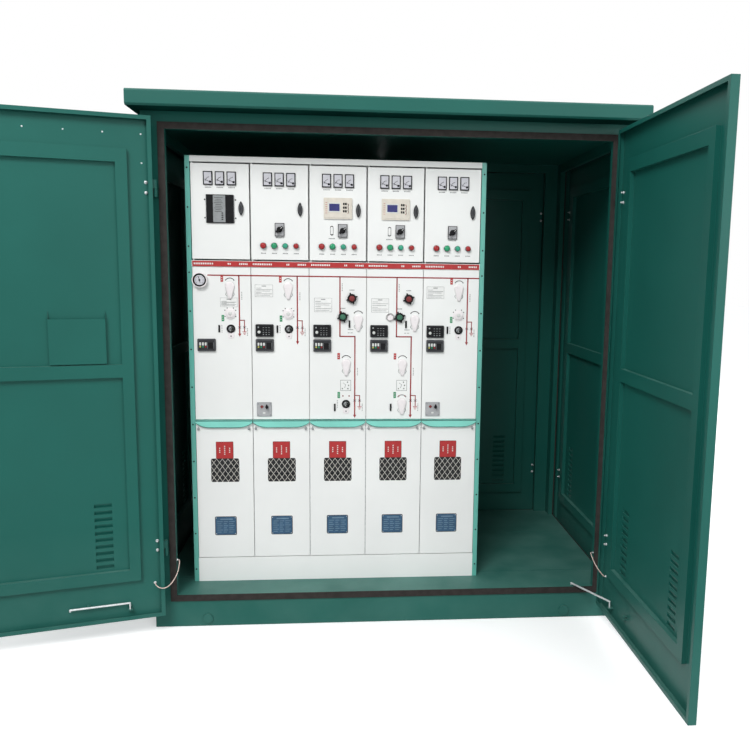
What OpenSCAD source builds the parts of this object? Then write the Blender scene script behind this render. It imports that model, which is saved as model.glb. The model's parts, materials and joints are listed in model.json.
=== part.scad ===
// Gas insulated ring-main switchgear of five bays in an outdoor sheet-steel kiosk.
// Millimetres, +Z up. The origin is on the ground, under the middle of the kiosk body.
// The front of the kiosk faces -Y. The front doors are drawn open, all others closed.

/* [Kiosk body] */
// Width of the kiosk body over its corner posts
body_w = 2520; // [2480:10:3000]
// Depth of the kiosk body over its corner posts
body_d = 1400; // [1300:10:1800]
// Clear height of the openings, from the floor to the head rails
opening_h = 2430; // [2410:10:2700]
// Face width of a corner post, on each side of the corner
post_w = 116; // [100:2:140]
// Thickness of the folded posts and head rails
frame_t = 30; // [20:2:40]
// Height of the head rails over the openings
head_h = 85; // [75:5:120]
// Height of the base beams
base_h = 175; // [140:5:220]
// Width of the base beams
base_beam_w = 80; // [60:5:100]
// Thickness of the floor plates
floor_t = 3; // [3:1:6]
// Thickness of the ceiling sheet
ceiling_t = 3; // [2:1:6]

/* [Roof] */
// Overhang of the roof in front of and behind the body
roof_lap_y = 134; // [100:2:180]
// Overhang of the roof beside the body
roof_lap_x = 38; // [30:2:100]
// Height of the roof fascia
fascia_h = 77; // [60:1:120]
// Rise of the roof from the fascia to its ridge
roof_rise = 46; // [30:2:120]
// Size of the folded lip round the fascia
roof_lip = 9; // [6:1:14]

/* [Kiosk doors] */
// Depth of a door leaf
leaf_t = 36; // [32:1:45]
// Thickness of the door sheet
skin_t = 3; // [2:0.5:4]
// Overlap of a leaf on the head rails, and of a side leaf on its posts
leaf_lap = 45; // [38:1:55]
// Overlap of a front or rear leaf on its post
front_lap = 27; // [26:1:40]
// Overlap of a leaf on the base, below the floor
leaf_drop = 74; // [50:2:90]
// Gap between a closed leaf and the frame
leaf_gap = 14; // [14:1:20]
// Gap between the two leaves of a pair
meet_gap = 8; // [6:1:12]
// Opening angle at which the front left door stands
left_angle = 165; // [120:1:168]
// Opening angle at which the front right door stands
right_angle = 90; // [80:1:100]
// Width of the pressed stiles on the inside of a leaf
stile_w = 55; // [50:1:70]
// Distance from a leaf's edge to its stiles
stile_inset = 115; // [110:1:135]
// Raised height of the stiles and rails
hat_t = 22; // [15:1:24]
// Height of the pressed rails
hat_rail_h = 66; // [55:1:80]
// Height of the middle rail's centre over the leaf's lower edge
mid_rail_z = 1306; // [1100:1:1400]
// Width of a louvre
louvre_w = 90; // [70:2:110]
// Pitch of the louvres
louvre_pitch = 36; // [32:1:40]
// Number of louvres in a column
louvre_n = 10; // [6:1:12]
// Thickness of the foam gasket on the frame
gasket_t = 8; // [5:1:8]
// Width of the foam gasket
gasket_w = 33; // [25:1:34]

/* [Door hardware] */
// Radius of a hinge barrel
barrel_r = 9; // [8:0.5:11]
// Radius of a hinge pin
pin_r = 5.5; // [4:0.5:6]
// Running clearance of the hinge pins
pin_clear = 0.3; // [0.2:0.05:0.5]
// Height of one hinge knuckle
knuckle_h = 42; // [34:2:50]
// Distance of the hinge axis from the leaf's edge
hinge_off = 13; // [12:0.5:16]
// Diameter of the stay rods
stay_d = 10; // [8:1:12]
// Length of the stay rods
stay_l = 287; // [240:1:320]
// Distance of a stay's pivot from the leaf's hinge edge
stay_x = 175; // [150:5:200]
// Height of the stays over the floor
stay_rise = 14; // [13:1:20]
// Swing of a stay from the leaf to its propping place
stay_swing = 152; // [140:1:160]

/* [Switchgear] */
// Width of one bay
bay_w = 310; // [300:1:330]
// Number of bays
bay_n = 5; // [5:1:5]
// Depth of the switchgear
gear_d = 800; // [720:10:900]
// Thickness of the end covers
end_t = 25; // [20:1:30]
// Setback of the switchgear's front behind the front of the kiosk
gear_setback = 184; // [150:2:250]
// Gap between the switchgear and the left edge of the front opening
gear_left_gap = 58; // [50:2:120]
// Gap between the switchgear and the head rails
gear_head_gap = 100; // [60:5:200]
// Height of the plinth
plinth_h = 140; // [120:2:160]
// Height of the cable covers
cover_h = 737; // [700:1:760]
// Height of the canopy strips over the cable covers
canopy_h = 45; // [40:1:55]
// Height of the mechanism panels
mech_h = 830; // [800:1:850]
// Height of the rail between mechanism panels and instrument doors
rail_h = 36; // [32:1:44]
// Height of the instrument compartments
lv_h = 512; // [480:1:530]
// Depth of the instrument compartments
lv_d = 360; // [320:5:420]
// Height of the cap over the instrument compartments
cap_h = 30; // [25:1:40]
// Thickness of the front panels
panel_t = 20; // [16:1:24]
// Sheet thickness of the switchgear's covers and walls
sheet_t = 2; // [1.5:0.5:3]
// Seam between neighbouring panels
seam = 4; // [2:0.5:5]
// Gap round an instrument door
lv_gap = 8; // [8:0.5:10]

/* [Switchgear details] */
// Width of the mesh window in a cable cover
window_w = 154; // [130:2:180]
// Height of the mesh window
window_h = 134; // [110:2:150]
// Corner radius of the mesh window
window_r = 10; // [6:1:20]
// Height of the window's centre over the plinth
window_z = 499; // [460:1:520]
// Pitch of the mesh bars, square to the bars
mesh_pitch = 25; // [18:0.5:32]
// Width of a mesh bar
mesh_bar = 2; // [1.5:0.5:4]
// Slope of the mesh bars
mesh_slope = 54; // [40:1:60]
// Diameter of the pressure gauge
gauge_d = 80; // [70:1:90]
// Diameter of the left two indicator lamps
lamp_d = 34; // [26:1:40]
// Diameter of the right two indicator lamps
lamp_small_d = 30; // [24:1:36]
// Diameter of a breaker button
button_d = 50; // [40:1:56]
// Width of an operating cover's round head
key_d = 49; // [40:1:54]
// Height of an operating cover
key_h = 92; // [80:1:100]
// Diameter of a position indicator
dial_d = 46; // [40:1:50]

/* [Hidden] */
$fn = 48;

// Kiosk levels and edges
floor_z = base_h + floor_t;
head_z = floor_z + opening_h;
roof_z = head_z + head_h;
half_w = body_w / 2;
half_d = body_d / 2;
open_half_w = half_w - post_w;
open_half_d = half_d - post_w;
leaf_z = floor_z - leaf_drop;
leaf_h = head_z + leaf_lap - leaf_z;
front_leaf_w = open_half_w + front_lap - meet_gap / 2;
side_leaf_w = 2 * (open_half_d + leaf_lap);
leaf_stand = leaf_gap + leaf_t;
axis_x = open_half_w + front_lap + hinge_off;
axis_y = half_d + leaf_stand;
side_axis_x = half_w + leaf_stand;
side_axis_y = open_half_d + leaf_lap + hinge_off;
lower_hinge_up = 285;
upper_hinge_down = 295;
hinge_zs = [floor_z + lower_hinge_up - leaf_z, head_z - upper_hinge_down - leaf_z];
ceiling_drop = 30;
ceiling_z = roof_z - ceiling_drop;
entry_inset = 40;
lifting_d = 54;
lifting_out = 8;
lifting_inset = 276;
lifting_z = 42;
fit = 0.5;

// Door leaf details
top_rail_inset = 160;
bottom_rail_z = 205;
bottom_rail_h = 60;
lip_w = 20;
louvre_inset = 72;
louvre_z = 282;
louvre_h = 20;
louvre_out = 10;
louvre_drip = 12;
handle_w = 34;
handle_h = 190;
handle_z = 1180;
handle_inset = 60;
handle_plate_t = 5;
lever_inset = 6;
lever_t = 8;
lever_out = 19;
lever_end = 20;
lever_h = 130;
lever_foot_h = 30;
lever_foot_z = 120;
lever_foot_out = 12;
stay_y = 22;
stay_z = floor_z + stay_rise - leaf_z;
bracket_w = 26;
bracket_t = 4;
clip_x = 190;
clip_w = 16;
foot_clear = 5;
leg_end = 3;
leg_drop = 28;
pocket_w = 260;
pocket_h = 262;
pocket_lip_h = 222;
pocket_t = 2;
pocket_rise = 6;
pocket_z = mid_rail_z + hat_rail_h / 2 + pocket_rise;
pocket_gap = 70;

// Bonding leads from the front posts to the front doors: the points that each one follows
lead_d = 5;
lead_sides = 8;
left_lead_route = [
    [-1144, -688, 371], [-1136, -688, 371], [-1131, -691, 370], [-1128, -698, 367], [-1127, -709, 361],
    [-1126, -722, 352], [-1126, -735, 342], [-1127, -748, 332], [-1130, -760, 321], [-1135, -771, 309],
    [-1142, -781, 297], [-1150, -789, 286], [-1160, -796, 276], [-1172, -801, 268], [-1185, -803, 263],
    [-1198, -803, 262], [-1211, -801, 264], [-1222, -796, 268], [-1231, -789, 273], [-1236.5, -782, 277.5],
    [-1239.4, -775.2, 280], [-1241.2, -768.5, 280]
];
right_lead_route = [
    [1144, -688, 371], [1136, -688, 371], [1131, -691, 371], [1128, -698, 370], [1127, -708, 366],
    [1127, -719, 360], [1128, -731, 353], [1129, -743, 346], [1131, -755, 338], [1134, -767, 330],
    [1138, -778, 322], [1143, -789, 313], [1150, -798, 303], [1158, -805, 293], [1166, -809, 284],
    [1173, -810, 280], [1181, -810, 280]
];

// Switchgear edges and levels, with its levels stretched to fit under the head rails
gear_w = bay_n * bay_w + 2 * end_t;
gear_x = -open_half_w + gear_left_gap;
gear_y = -half_d + gear_setback;
bays_x = gear_x + end_t;
levels_h = plinth_h + cover_h + canopy_h + mech_h + rail_h + lv_h + cap_h;
level_k = (opening_h - gear_head_gap) / levels_h;
cover_z = floor_z + level_k * plinth_h;
canopy_z = cover_z + level_k * cover_h;
mech_z = canopy_z + level_k * canopy_h;
rail_z = mech_z + level_k * mech_h;
lv_z = rail_z + level_k * rail_h;
cap_z = lv_z + level_k * lv_h;
gear_top = cap_z + level_k * cap_h;
window_mid_z = cover_z + level_k * window_z;
lv_door_w = bay_w - lv_gap;
lv_door_h = cap_z - lv_z - 2 * lv_gap;
lv_axis = 6;
lv_pin_r = 3;
lv_pin_seat = 8;
lv_pin_reach = lv_gap + lv_pin_seat;
canopy_out = 14;
canopy_lift = 26;
canopy_run = 75;
window_rim = 8;
mesh_t = 2;
pane_t = 3;

// Devices on the mechanism panels: places are measured from the left edge of the bay and
// from the lower edge of the panel
gauge_x = 42;
gauge_up = 762;
gauge_out = 24;
gauge_bezel = 5;
box_x = 70;
box_w = 96;
box_h = 67;
box_r = 5;
box_out = 12;
live_up = 414;
fault_up = 494;
key_tail_d = 18;
key_out = 6;
switch_key_x = 198;
switch_key_up = 730;
hub_d = 58;
hub_up = 585;
breaker_key_x = 266;
breaker_key_up = 560;
earth_key_x = 201;
earth_key_up = 315;
trip_x = 231;
trip_up = 672;
close_x = 182;
close_up = 572;
button_out = 20;
button_face_d = 30;
button_face_out = 6;
button_grip_d = 5;
button_grips = 16;
dial_x = 200;
dial_out = 5;
dial_rim = 9;
dial_floor = 2;
slot_x = 138;
slot_w = 9;
slot_h = 40;
switch_dial_up = 502;
earth_dial_up = 89;
earth_slot_up = 70;
breaker_slot_x = 218;
breaker_slot_up = 532;
lock_x = 63;
lock_up = 60;
lock_w = 80;
lock_h = 78;
lock_r = 4;
lock_out = 5;
lock_barrel_d = 18;
lock_barrel_out = 14;
lock_barrel_x = 15;
lock_barrel_up = 15;

// Instruments on the doors: places are measured from the left edge of the bay and
// from the lower edge of the instrument compartment
meter_w = 48;
meter_h = 70;
meter_out = 8;
meter_z = 428;
meter_pitch = 61;
body_depth = 48;
body_inset = 4;
body_trim = [2 * body_inset, 2 * body_inset];
bezel_r = 4;
lamp_z = 82;
lamp_pitch = 58;
lamp_out = 12;
selector_w = 50;
selector_h = 70;
selector_z = 167;
breaker_selector_x = 180;
knob_d = 30;
knob_out = 16;
knob_bar_w = 13;
knob_bar_h = 46;
knob_bar_out = 28;
knob_turn = -50;
relay_w = 152;
relay_h = 111;
relay_z = 284;
controller_w = 146;
controller_h = 148;
controller_z = 270;
latch_w = 26;
latch_h = 75;
latch_x = 264;
latch_z = 274;
latch_out = 12;

// Breaker bays carry a relay, the others are load-switch bays
breaker_bays = [2, 3];
switch_bays = [0, 1, 4];
fault_bays = [1, 2, 3, 4];
lock_bays = [1, 4];

green = "#2b6b60";
white = "#e6e7e5";
teal = "#5aa89a";
turquoise = "#85d8c8";
grey = "#8c9092";
black = "#1c1d1f";
zinc = "#b9bcbd";

function bay_left(i) = bays_x + i * bay_w;
function has(list, i) = len(search(i, list)) > 0;
function is_breaker(i) = has(breaker_bays, i);
function lamp_size(k) = k < 0 ? lamp_d : lamp_small_d;
function selector_x(i) = is_breaker(i) ? breaker_selector_x : bay_w / 2;
function panel_z(up) = mech_z + level_k * up;

// Shared shapes

module box(x0, y0, z0, w, d, h) {
    translate([x0, y0, z0])
        cube([w, d, h]);
}

module round_square(w, h, r) {
    square([w - 2 * r, h], center = true);
    square([w, h - 2 * r], center = true);
    for (sx = [-1, 1], sz = [-1, 1])
        translate([sx * (w / 2 - r), sz * (h / 2 - r)])
            circle(r);
}

// Stands a flat outline on the switchgear's front, proud of the plane y by the given depth
module on_front(x, y, z, out) {
    translate([x, y, z])
        rotate([90, 0, 0])
            linear_extrude(out)
                children();
}

module rod_z(x, y, z, r, h) {
    translate([x, y, z])
        cylinder(r = r, h = h);
}

// Kiosk body

module base_long_beams() {
    color(green)
        for (y = [-half_d, half_d - base_beam_w])
            box(-half_w, y, 0, body_w, base_beam_w, base_h);
}

module base_cross_beams() {
    color(green)
        for (x = [-half_w, -base_beam_w / 2, half_w - base_beam_w])
            box(x, -half_d + base_beam_w, 0, base_beam_w, body_d - 2 * base_beam_w, base_h);
}

// Four plates round the cable entry under the switchgear
module floor_plates() {
    entry_x0 = gear_x + end_t + entry_inset;
    entry_x1 = gear_x + gear_w - end_t - entry_inset;
    entry_y0 = gear_y + panel_t + entry_inset;
    entry_y1 = gear_y + gear_d - panel_t - entry_inset;
    side_d = entry_y1 - entry_y0 - 2 * seam;
    color(green) {
        box(-half_w, -half_d, base_h, body_w, entry_y0 + half_d, floor_t);
        box(-half_w, entry_y1, base_h, body_w, half_d - entry_y1, floor_t);
        box(-half_w, entry_y0 + seam, base_h, entry_x0 + half_w, side_d, floor_t);
        box(entry_x1, entry_y0 + seam, base_h, half_w - entry_x1, side_d, floor_t);
    }
}

module corner_posts() {
    color(green)
        for (sx = [0, 1], sy = [0, 1])
            mirror([sx, 0, 0])
                mirror([0, sy, 0])
                    translate([-half_w, -half_d, floor_z])
                        linear_extrude(roof_z - floor_z)
                            polygon([
                                [0, 0], [post_w, 0], [post_w, frame_t],
                                [frame_t, frame_t], [frame_t, post_w], [0, post_w]
                            ]);
}

module head_rails() {
    color(green) {
        for (y = [-half_d, half_d - frame_t])
            box(-open_half_w, y, head_z, 2 * open_half_w, frame_t, head_h);
        for (x = [-half_w, half_w - frame_t])
            box(x, -open_half_d, head_z, frame_t, 2 * open_half_d, head_h);
    }
}

module ceiling_panel() {
    color(green)
        box(-half_w + frame_t, -half_d + frame_t, ceiling_z,
            body_w - 2 * frame_t, body_d - 2 * frame_t, ceiling_t);
}

// Low gable with a folded fascia, drawn as its end profile
module roof() {
    y1 = half_d + roof_lap_y;
    z1 = fascia_h;
    len_x = body_w + 2 * roof_lap_x;
    color(green)
        translate([-len_x / 2, 0, roof_z])
            rotate([90, 0, 90])
                linear_extrude(len_x)
                    polygon([
                        [-y1 + roof_lip, 0], [y1 - roof_lip, 0],
                        [y1, roof_lip], [y1, z1 - roof_lip], [y1 - roof_lip, z1],
                        [0, z1 + roof_rise],
                        [-y1 + roof_lip, z1], [-y1, z1 - roof_lip], [-y1, roof_lip]
                    ]);
}

module lifting_caps() {
    color(green)
        for (sx = [-1, 1], sy = [-1, 1])
            translate([sx * (half_w - lifting_inset), sy * half_d, lifting_z])
                rotate([-90 * sy, 0, 0])
                    cylinder(d = lifting_d, h = lifting_out);
}

module gasket_ring(w) {
    h = opening_h;
    difference() {
        translate([-gasket_w, 0, -gasket_w])
            cube([w + 2 * gasket_w, gasket_t, h + 2 * gasket_w]);
        translate([0, -1, 0])
            cube([w, gasket_t + 2, h]);
    }
}

module door_gaskets() {
    color("#4a4643") {
        for (y = [-half_d - gasket_t, half_d])
            translate([-open_half_w, y, floor_z])
                gasket_ring(2 * open_half_w);
        for (x = [-half_w, half_w + gasket_t])
            translate([x, -open_half_d, floor_z])
                rotate([0, 0, 90])
                    gasket_ring(2 * open_half_d);
    }
}

// Door places: local x runs from the hinge axis to the free edge, y from the outer face inwards

module at_front_left(angle) {
    translate([-axis_x, -axis_y, leaf_z])
        rotate([0, 0, -angle])
            children();
}

module at_front_right(angle) {
    translate([axis_x, -axis_y, leaf_z])
        rotate([0, 0, angle])
            mirror([1, 0, 0])
                children();
}

module at_rear_left() {
    translate([-axis_x, axis_y, leaf_z])
        mirror([0, 1, 0])
            children();
}

module at_rear_right() {
    translate([axis_x, axis_y, leaf_z])
        rotate([0, 0, 180])
            children();
}

module at_left_side() {
    translate([-side_axis_x, side_axis_y, leaf_z])
        rotate([0, 0, -90])
            children();
}

module at_right_side() {
    translate([side_axis_x, side_axis_y, leaf_z])
        mirror([1, 0, 0])
            rotate([0, 0, -90])
                children();
}

// Louvre hood pressed outwards over its slot, drawn as its section
module louvre_hood() {
    rotate([90, 0, 90])
        linear_extrude(louvre_w)
            polygon([
                [0, -louvre_drip], [-louvre_out, -louvre_drip], [-louvre_out, skin_t], [0, louvre_h]
            ]);
}

// Inside of a hood, open to the leaf's inner face and downwards between the leaf and the hood's front
module louvre_hollow() {
    y0 = skin_t - louvre_out;
    translate([skin_t, 0, 0])
        rotate([90, 0, 90])
            linear_extrude(louvre_w - 2 * skin_t)
                polygon([
                    [skin_t + 1, -1], [0, -1], [0, -louvre_drip - 1], [y0, -louvre_drip - 1],
                    [y0, skin_t - 1], [skin_t, louvre_h - 1], [skin_t + 1, louvre_h - 1]
                ]);
}

module louvre_places(w) {
    for (x = [stile_inset + stile_w + louvre_inset, w - stile_inset - stile_w - louvre_inset - louvre_w])
        for (k = [0 : louvre_n - 1])
            translate([hinge_off + x, 0, louvre_z + k * louvre_pitch])
                children();
}

module door_pan(w) {
    difference() {
        translate([hinge_off, 0, 0])
            cube([w, leaf_t, leaf_h]);
        translate([hinge_off + skin_t, skin_t, skin_t])
            cube([w - 2 * skin_t, leaf_t - 2 * skin_t, leaf_h - 2 * skin_t]);
        translate([hinge_off + lip_w, skin_t, lip_w])
            cube([w - 2 * lip_w, leaf_t, leaf_h - 2 * lip_w]);
    }
}

module hat_frame(w) {
    z0 = bottom_rail_z;
    z1 = leaf_h - top_rail_inset;
    rail_x = stile_inset + stile_w;
    rail_w = w - 2 * rail_x;
    translate([hinge_off, skin_t, 0]) {
        for (x = [stile_inset, w - stile_inset - stile_w])
            box(x, 0, z0, stile_w, hat_t, z1 - z0);
        box(rail_x, 0, z0, rail_w, hat_t, bottom_rail_h);
        box(rail_x, 0, mid_rail_z - hat_rail_h / 2, rail_w, hat_t, hat_rail_h);
        box(rail_x, 0, z1 - hat_rail_h, rail_w, hat_t, hat_rail_h);
    }
}

module door_knuckles() {
    for (z = hinge_zs)
        difference() {
            union() {
                rod_z(0, 0, z, barrel_r, knuckle_h);
                box(0, 0, z, hinge_off + skin_t, barrel_r, knuckle_h);
            }
            rod_z(0, 0, z - 1, pin_r + pin_clear, knuckle_h + 2);
        }
}

module door_handle(w) {
    x = hinge_off + w - handle_inset - handle_w;
    lever_w = handle_w - 2 * lever_inset;
    box(x, -handle_plate_t, handle_z, handle_w, handle_plate_t, handle_h);
    box(x + lever_inset, -lever_out, handle_z + lever_end, lever_w, lever_t, lever_h);
    box(x + lever_inset, -lever_foot_out, handle_z + lever_foot_z, lever_w, lever_t, lever_foot_h);
}

module kiosk_leaf(w) {
    difference() {
        union() {
            door_pan(w);
            hat_frame(w);
            louvre_places(w)
                louvre_hood();
        }
        louvre_places(w)
            louvre_hollow();
    }
    door_knuckles();
}

// Pivot bracket of a stay, and the open clip that holds its rod along the leaf
module stay_holders() {
    depth = stay_y - skin_t + stay_d;
    under = stay_z - stay_d / 2 - fit;
    shelf_z = under - leg_drop - bracket_t;
    difference() {
        box(hinge_off + stay_x - bracket_w / 2, skin_t, shelf_z, bracket_w, depth, bracket_t);
        rod_z(hinge_off + stay_x, stay_y, shelf_z - 1, stay_d / 2 - 1 + pin_clear, bracket_t + 2);
    }
    for (z = [under - bracket_t, stay_z + stay_d / 2 + fit])
        box(hinge_off + stay_x + clip_x, skin_t, z, clip_w, stay_y - skin_t, bracket_t);
}

module front_left_door() {
    color(green)
        at_front_left(left_angle) {
            kiosk_leaf(front_leaf_w);
            stay_holders();
        }
}

module front_right_door() {
    color(green)
        at_front_right(right_angle) {
            kiosk_leaf(front_leaf_w);
            door_handle(front_leaf_w);
            stay_holders();
        }
}

module rear_left_door() {
    color(green)
        at_rear_left()
            kiosk_leaf(front_leaf_w);
}

module rear_right_door() {
    color(green)
        at_rear_right() {
            kiosk_leaf(front_leaf_w);
            door_handle(front_leaf_w);
        }
}

module left_side_door() {
    color(green)
        at_left_side() {
            kiosk_leaf(side_leaf_w);
            door_handle(side_leaf_w);
        }
}

module right_side_door() {
    color(green)
        at_right_side() {
            kiosk_leaf(side_leaf_w);
            door_handle(side_leaf_w);
        }
}

// Fixed hinge halves: a knuckle with its pin under each door knuckle, on an arm from the post
module leaf_hinge_brackets() {
    arm_w = 10;
    for (z = hinge_zs) {
        rod_z(0, 0, z - knuckle_h - fit, barrel_r, knuckle_h);
        rod_z(0, 0, z - fit, pin_r, knuckle_h + fit);
        box(-arm_w / 2, 0, z - knuckle_h - fit, arm_w, leaf_stand, knuckle_h);
    }
}

module hinge_brackets() {
    color(green) {
        at_front_left(0)
            leaf_hinge_brackets();
        at_front_right(0)
            leaf_hinge_brackets();
        at_rear_left()
            leaf_hinge_brackets();
        at_rear_right()
            leaf_hinge_brackets();
        at_left_side()
            leaf_hinge_brackets();
        at_right_side()
            leaf_hinge_brackets();
    }
}

// Stay rod on its pivot leg, swung from the leaf by an angle, with a short foot at its end
module stay(angle) {
    foot = stay_rise - foot_clear;
    leg = stay_d / 2 + fit + leg_drop + bracket_t + leg_end;
    translate([hinge_off + stay_x, stay_y, stay_z])
        rotate([0, 0, angle]) {
            rotate([0, 90, 0])
                cylinder(d = stay_d, h = stay_l);
            rod_z(0, 0, -leg, stay_d / 2 - 1, leg);
            rod_z(stay_l, 0, -foot, stay_d / 2 - 1, foot);
            for (x = [0, stay_l])
                translate([x, 0, 0])
                    sphere(d = stay_d);
        }
}

module front_left_stay() {
    color(zinc)
        at_front_left(left_angle)
            stay(0);
}

module front_right_stay() {
    color(zinc)
        at_front_right(right_angle)
            stay(stay_swing);
}

// Sheet pocket for papers on the inside of the front left door, drawn as its side profile
module pocket_block(w, inset) {
    depth = hat_t - inset;
    rotate([90, 0, 90])
        linear_extrude(w)
            polygon([[-inset, inset], [depth, inset], [depth, pocket_lip_h], [-inset, pocket_h + 2 * inset]]);
}

module document_pocket() {
    x0 = hinge_off + stile_inset + stile_w + pocket_gap;
    color(green)
        at_front_left(left_angle)
            translate([x0, skin_t, pocket_z])
                difference() {
                    pocket_block(pocket_w, 0);
                    translate([pocket_t, 0, 0])
                        pocket_block(pocket_w - 2 * pocket_t, pocket_t);
                    box(pocket_t, -1, pocket_lip_h, pocket_w - 2 * pocket_t, hat_t + 2, pocket_h);
                }
}

// Bonding leads: a ring of points square to the route at each of its points
function unit(v) = v / norm(v);
function heading(p, i) = unit(p[min(i + 1, len(p) - 1)] - p[max(i - 1, 0)]);
function ring_point(c, u, v, a) = c + lead_d / 2 * (cos(a) * u + sin(a) * v);
function lead_ring(p, i) =
    let (t = heading(p, i), u = unit(cross(t, [0, 0, 1])), v = cross(u, t))
    [for (k = [0 : lead_sides - 1]) ring_point(p[i], u, v, k * 360 / lead_sides)];

module lead(p) {
    n = len(p);
    m = lead_sides;
    points = [for (i = [0 : n - 1]) each lead_ring(p, i)];
    start = [[for (k = [m - 1 : -1 : 0]) k]];
    end = [[for (k = [0 : m - 1]) (n - 1) * m + k]];
    lower = [for (i = [0 : n - 2], k = [0 : m - 1]) [i * m + k, i * m + (k + 1) % m, (i + 1) * m + k]];
    upper = [
        for (i = [0 : n - 2], k = [0 : m - 1])
            [i * m + (k + 1) % m, (i + 1) * m + (k + 1) % m, (i + 1) * m + k]
    ];
    polyhedron(points, concat(start, lower, upper, end));
}

module left_bonding_lead() {
    color("#d8c4bc")
        lead(left_lead_route);
}

module right_bonding_lead() {
    color("#d8c4bc")
        lead(right_lead_route);
}

// Switchgear carcass

module gear_plinth() {
    inner_w = gear_w - 2 * end_t;
    side_d = gear_d - 2 * panel_t - 2 * seam;
    color(white) {
        for (y = [gear_y, gear_y + gear_d - panel_t])
            box(bays_x, y, floor_z, inner_w, panel_t, cover_z - floor_z - seam);
        for (x = [bays_x, bays_x + inner_w - panel_t])
            box(x, gear_y + panel_t + seam, floor_z, panel_t, side_d, cover_z - floor_z - seam);
    }
}

// The lower part is as deep as the switchgear, the upper one as the instrument compartment
module end_cover(x) {
    h0 = lv_z - floor_z;
    h1 = gear_top - floor_z;
    color(teal)
        translate([x, gear_y, floor_z])
            rotate([90, 0, 90])
                linear_extrude(end_t)
                    polygon([[0, 0], [gear_d, 0], [gear_d, h0], [lv_d, h0], [lv_d, h1], [0, h1]]);
}

module left_end_cover() {
    end_cover(gear_x);
}

module right_end_cover() {
    end_cover(gear_x + gear_w - end_t);
}

module lv_pin_places() {
    for (i = [0 : bay_n - 1])
        translate([bay_left(i) + lv_gap / 2 + lv_axis, gear_y + lv_axis, 0])
            children();
}

module top_cap() {
    color(white)
        difference() {
            box(bays_x, gear_y, cap_z, gear_w - 2 * end_t, lv_d, gear_top - cap_z);
            lv_pin_places()
                rod_z(0, 0, cap_z - 1, lv_pin_r + pin_clear, lv_pin_seat + 2);
        }
}

module label_rail() {
    color(white)
        difference() {
            box(bays_x, gear_y, rail_z + seam, gear_w - 2 * end_t, panel_t, lv_z - rail_z - seam);
            lv_pin_places()
                rod_z(0, 0, lv_z - lv_pin_seat - 1, lv_pin_r + pin_clear, lv_pin_seat + 2);
        }
}

module gear_rear_panel() {
    color(white)
        box(bays_x, gear_y + gear_d - 2 * sheet_t, cover_z,
            gear_w - 2 * end_t, 2 * sheet_t, canopy_z - cover_z);
}

// Sealed stainless tank behind the mechanism panels
module gas_tank() {
    color(zinc)
        box(bays_x, gear_y + panel_t, canopy_z, gear_w - 2 * end_t, gear_d - panel_t, lv_z - canopy_z);
}

module cable_partitions() {
    color(zinc)
        for (i = [1 : bay_n - 1])
            box(bay_left(i) - sheet_t, gear_y + panel_t, cover_z,
                2 * sheet_t, gear_d - panel_t - 2 * sheet_t, canopy_z - cover_z);
}

module lv_back_panel() {
    color(white)
        box(bays_x, gear_y + lv_d - 2 * sheet_t, lv_z, gear_w - 2 * end_t, 2 * sheet_t, cap_z - lv_z);
}

module lv_partitions() {
    y0 = panel_t + lv_gap;
    color(white)
        for (i = [1 : bay_n - 1])
            box(bay_left(i) - sheet_t, gear_y + y0, lv_z, 2 * sheet_t, lv_d - y0 - 2 * sheet_t, cap_z - lv_z);
}

// Front panels

module front_panel(i, z, h) {
    w = bay_w - seam;
    difference() {
        box(bay_left(i) + seam / 2, gear_y, z, w, panel_t, h);
        box(bay_left(i) + seam / 2 + sheet_t, gear_y + sheet_t, z + sheet_t,
            w - 2 * sheet_t, panel_t, h - 2 * sheet_t);
    }
}

module mechanism_panels() {
    color(white)
        for (i = [0 : bay_n - 1])
            front_panel(i, mech_z + seam, rail_z - mech_z - seam);
}

module window_outline() {
    round_square(window_w, window_h, window_r);
}

module cable_covers() {
    color(white)
        for (i = [0 : bay_n - 1])
            difference() {
                front_panel(i, cover_z, canopy_z - cover_z - seam);
                on_front(bay_left(i) + bay_w / 2, gear_y + sheet_t + 1, window_mid_z, sheet_t + 2)
                    window_outline();
            }
}

// Diamond lattice within the window's frame
module window_mesh_outline() {
    reach = window_w + window_h;
    count = ceil(reach / mesh_pitch / 2);
    difference() {
        square([window_w + 2 * window_rim, window_h + 2 * window_rim], center = true);
        square([window_w, window_h], center = true);
    }
    intersection() {
        square([window_w + window_rim, window_h + window_rim], center = true);
        union()
            for (a = [-mesh_slope, mesh_slope], k = [-count : count])
                rotate(a)
                    translate([-reach / 2, k * mesh_pitch - mesh_bar / 2])
                        square([reach, mesh_bar]);
    }
}

// Lattice on a dark pane, behind each window
module window_meshes() {
    pane_y = gear_y + sheet_t + mesh_t;
    color(black)
        for (i = [0 : bay_n - 1]) {
            x = bay_left(i) + bay_w / 2;
            on_front(x, pane_y, window_mid_z, mesh_t)
                window_mesh_outline();
            on_front(x, pane_y + pane_t, window_mid_z, pane_t)
                square([window_w + 2 * window_rim, window_h + 2 * window_rim], center = true);
        }
}

// Strip with a straight top and a lower edge that sweeps up to both ends
module canopy_outline(w, h) {
    bend_r = (canopy_run * canopy_run + canopy_lift * canopy_lift) / (2 * canopy_lift);
    difference() {
        translate([-w / 2, 0])
            square([w, h]);
        for (s = [0, 1])
            mirror([s, 0])
                translate([w / 2 - canopy_run, 0])
                    difference() {
                        translate([0, -1])
                            square([canopy_run + 1, 2 * canopy_lift]);
                        translate([0, bend_r])
                            circle(bend_r, $fn = 180);
                    }
    }
}

module canopy_strips() {
    color(turquoise)
        for (i = [0 : bay_n - 1])
            on_front(bay_left(i) + bay_w / 2, gear_y + panel_t, canopy_z + seam, panel_t + canopy_out)
                canopy_outline(bay_w - seam, mech_z - canopy_z - seam);
}

// Devices on the mechanism panels

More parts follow.
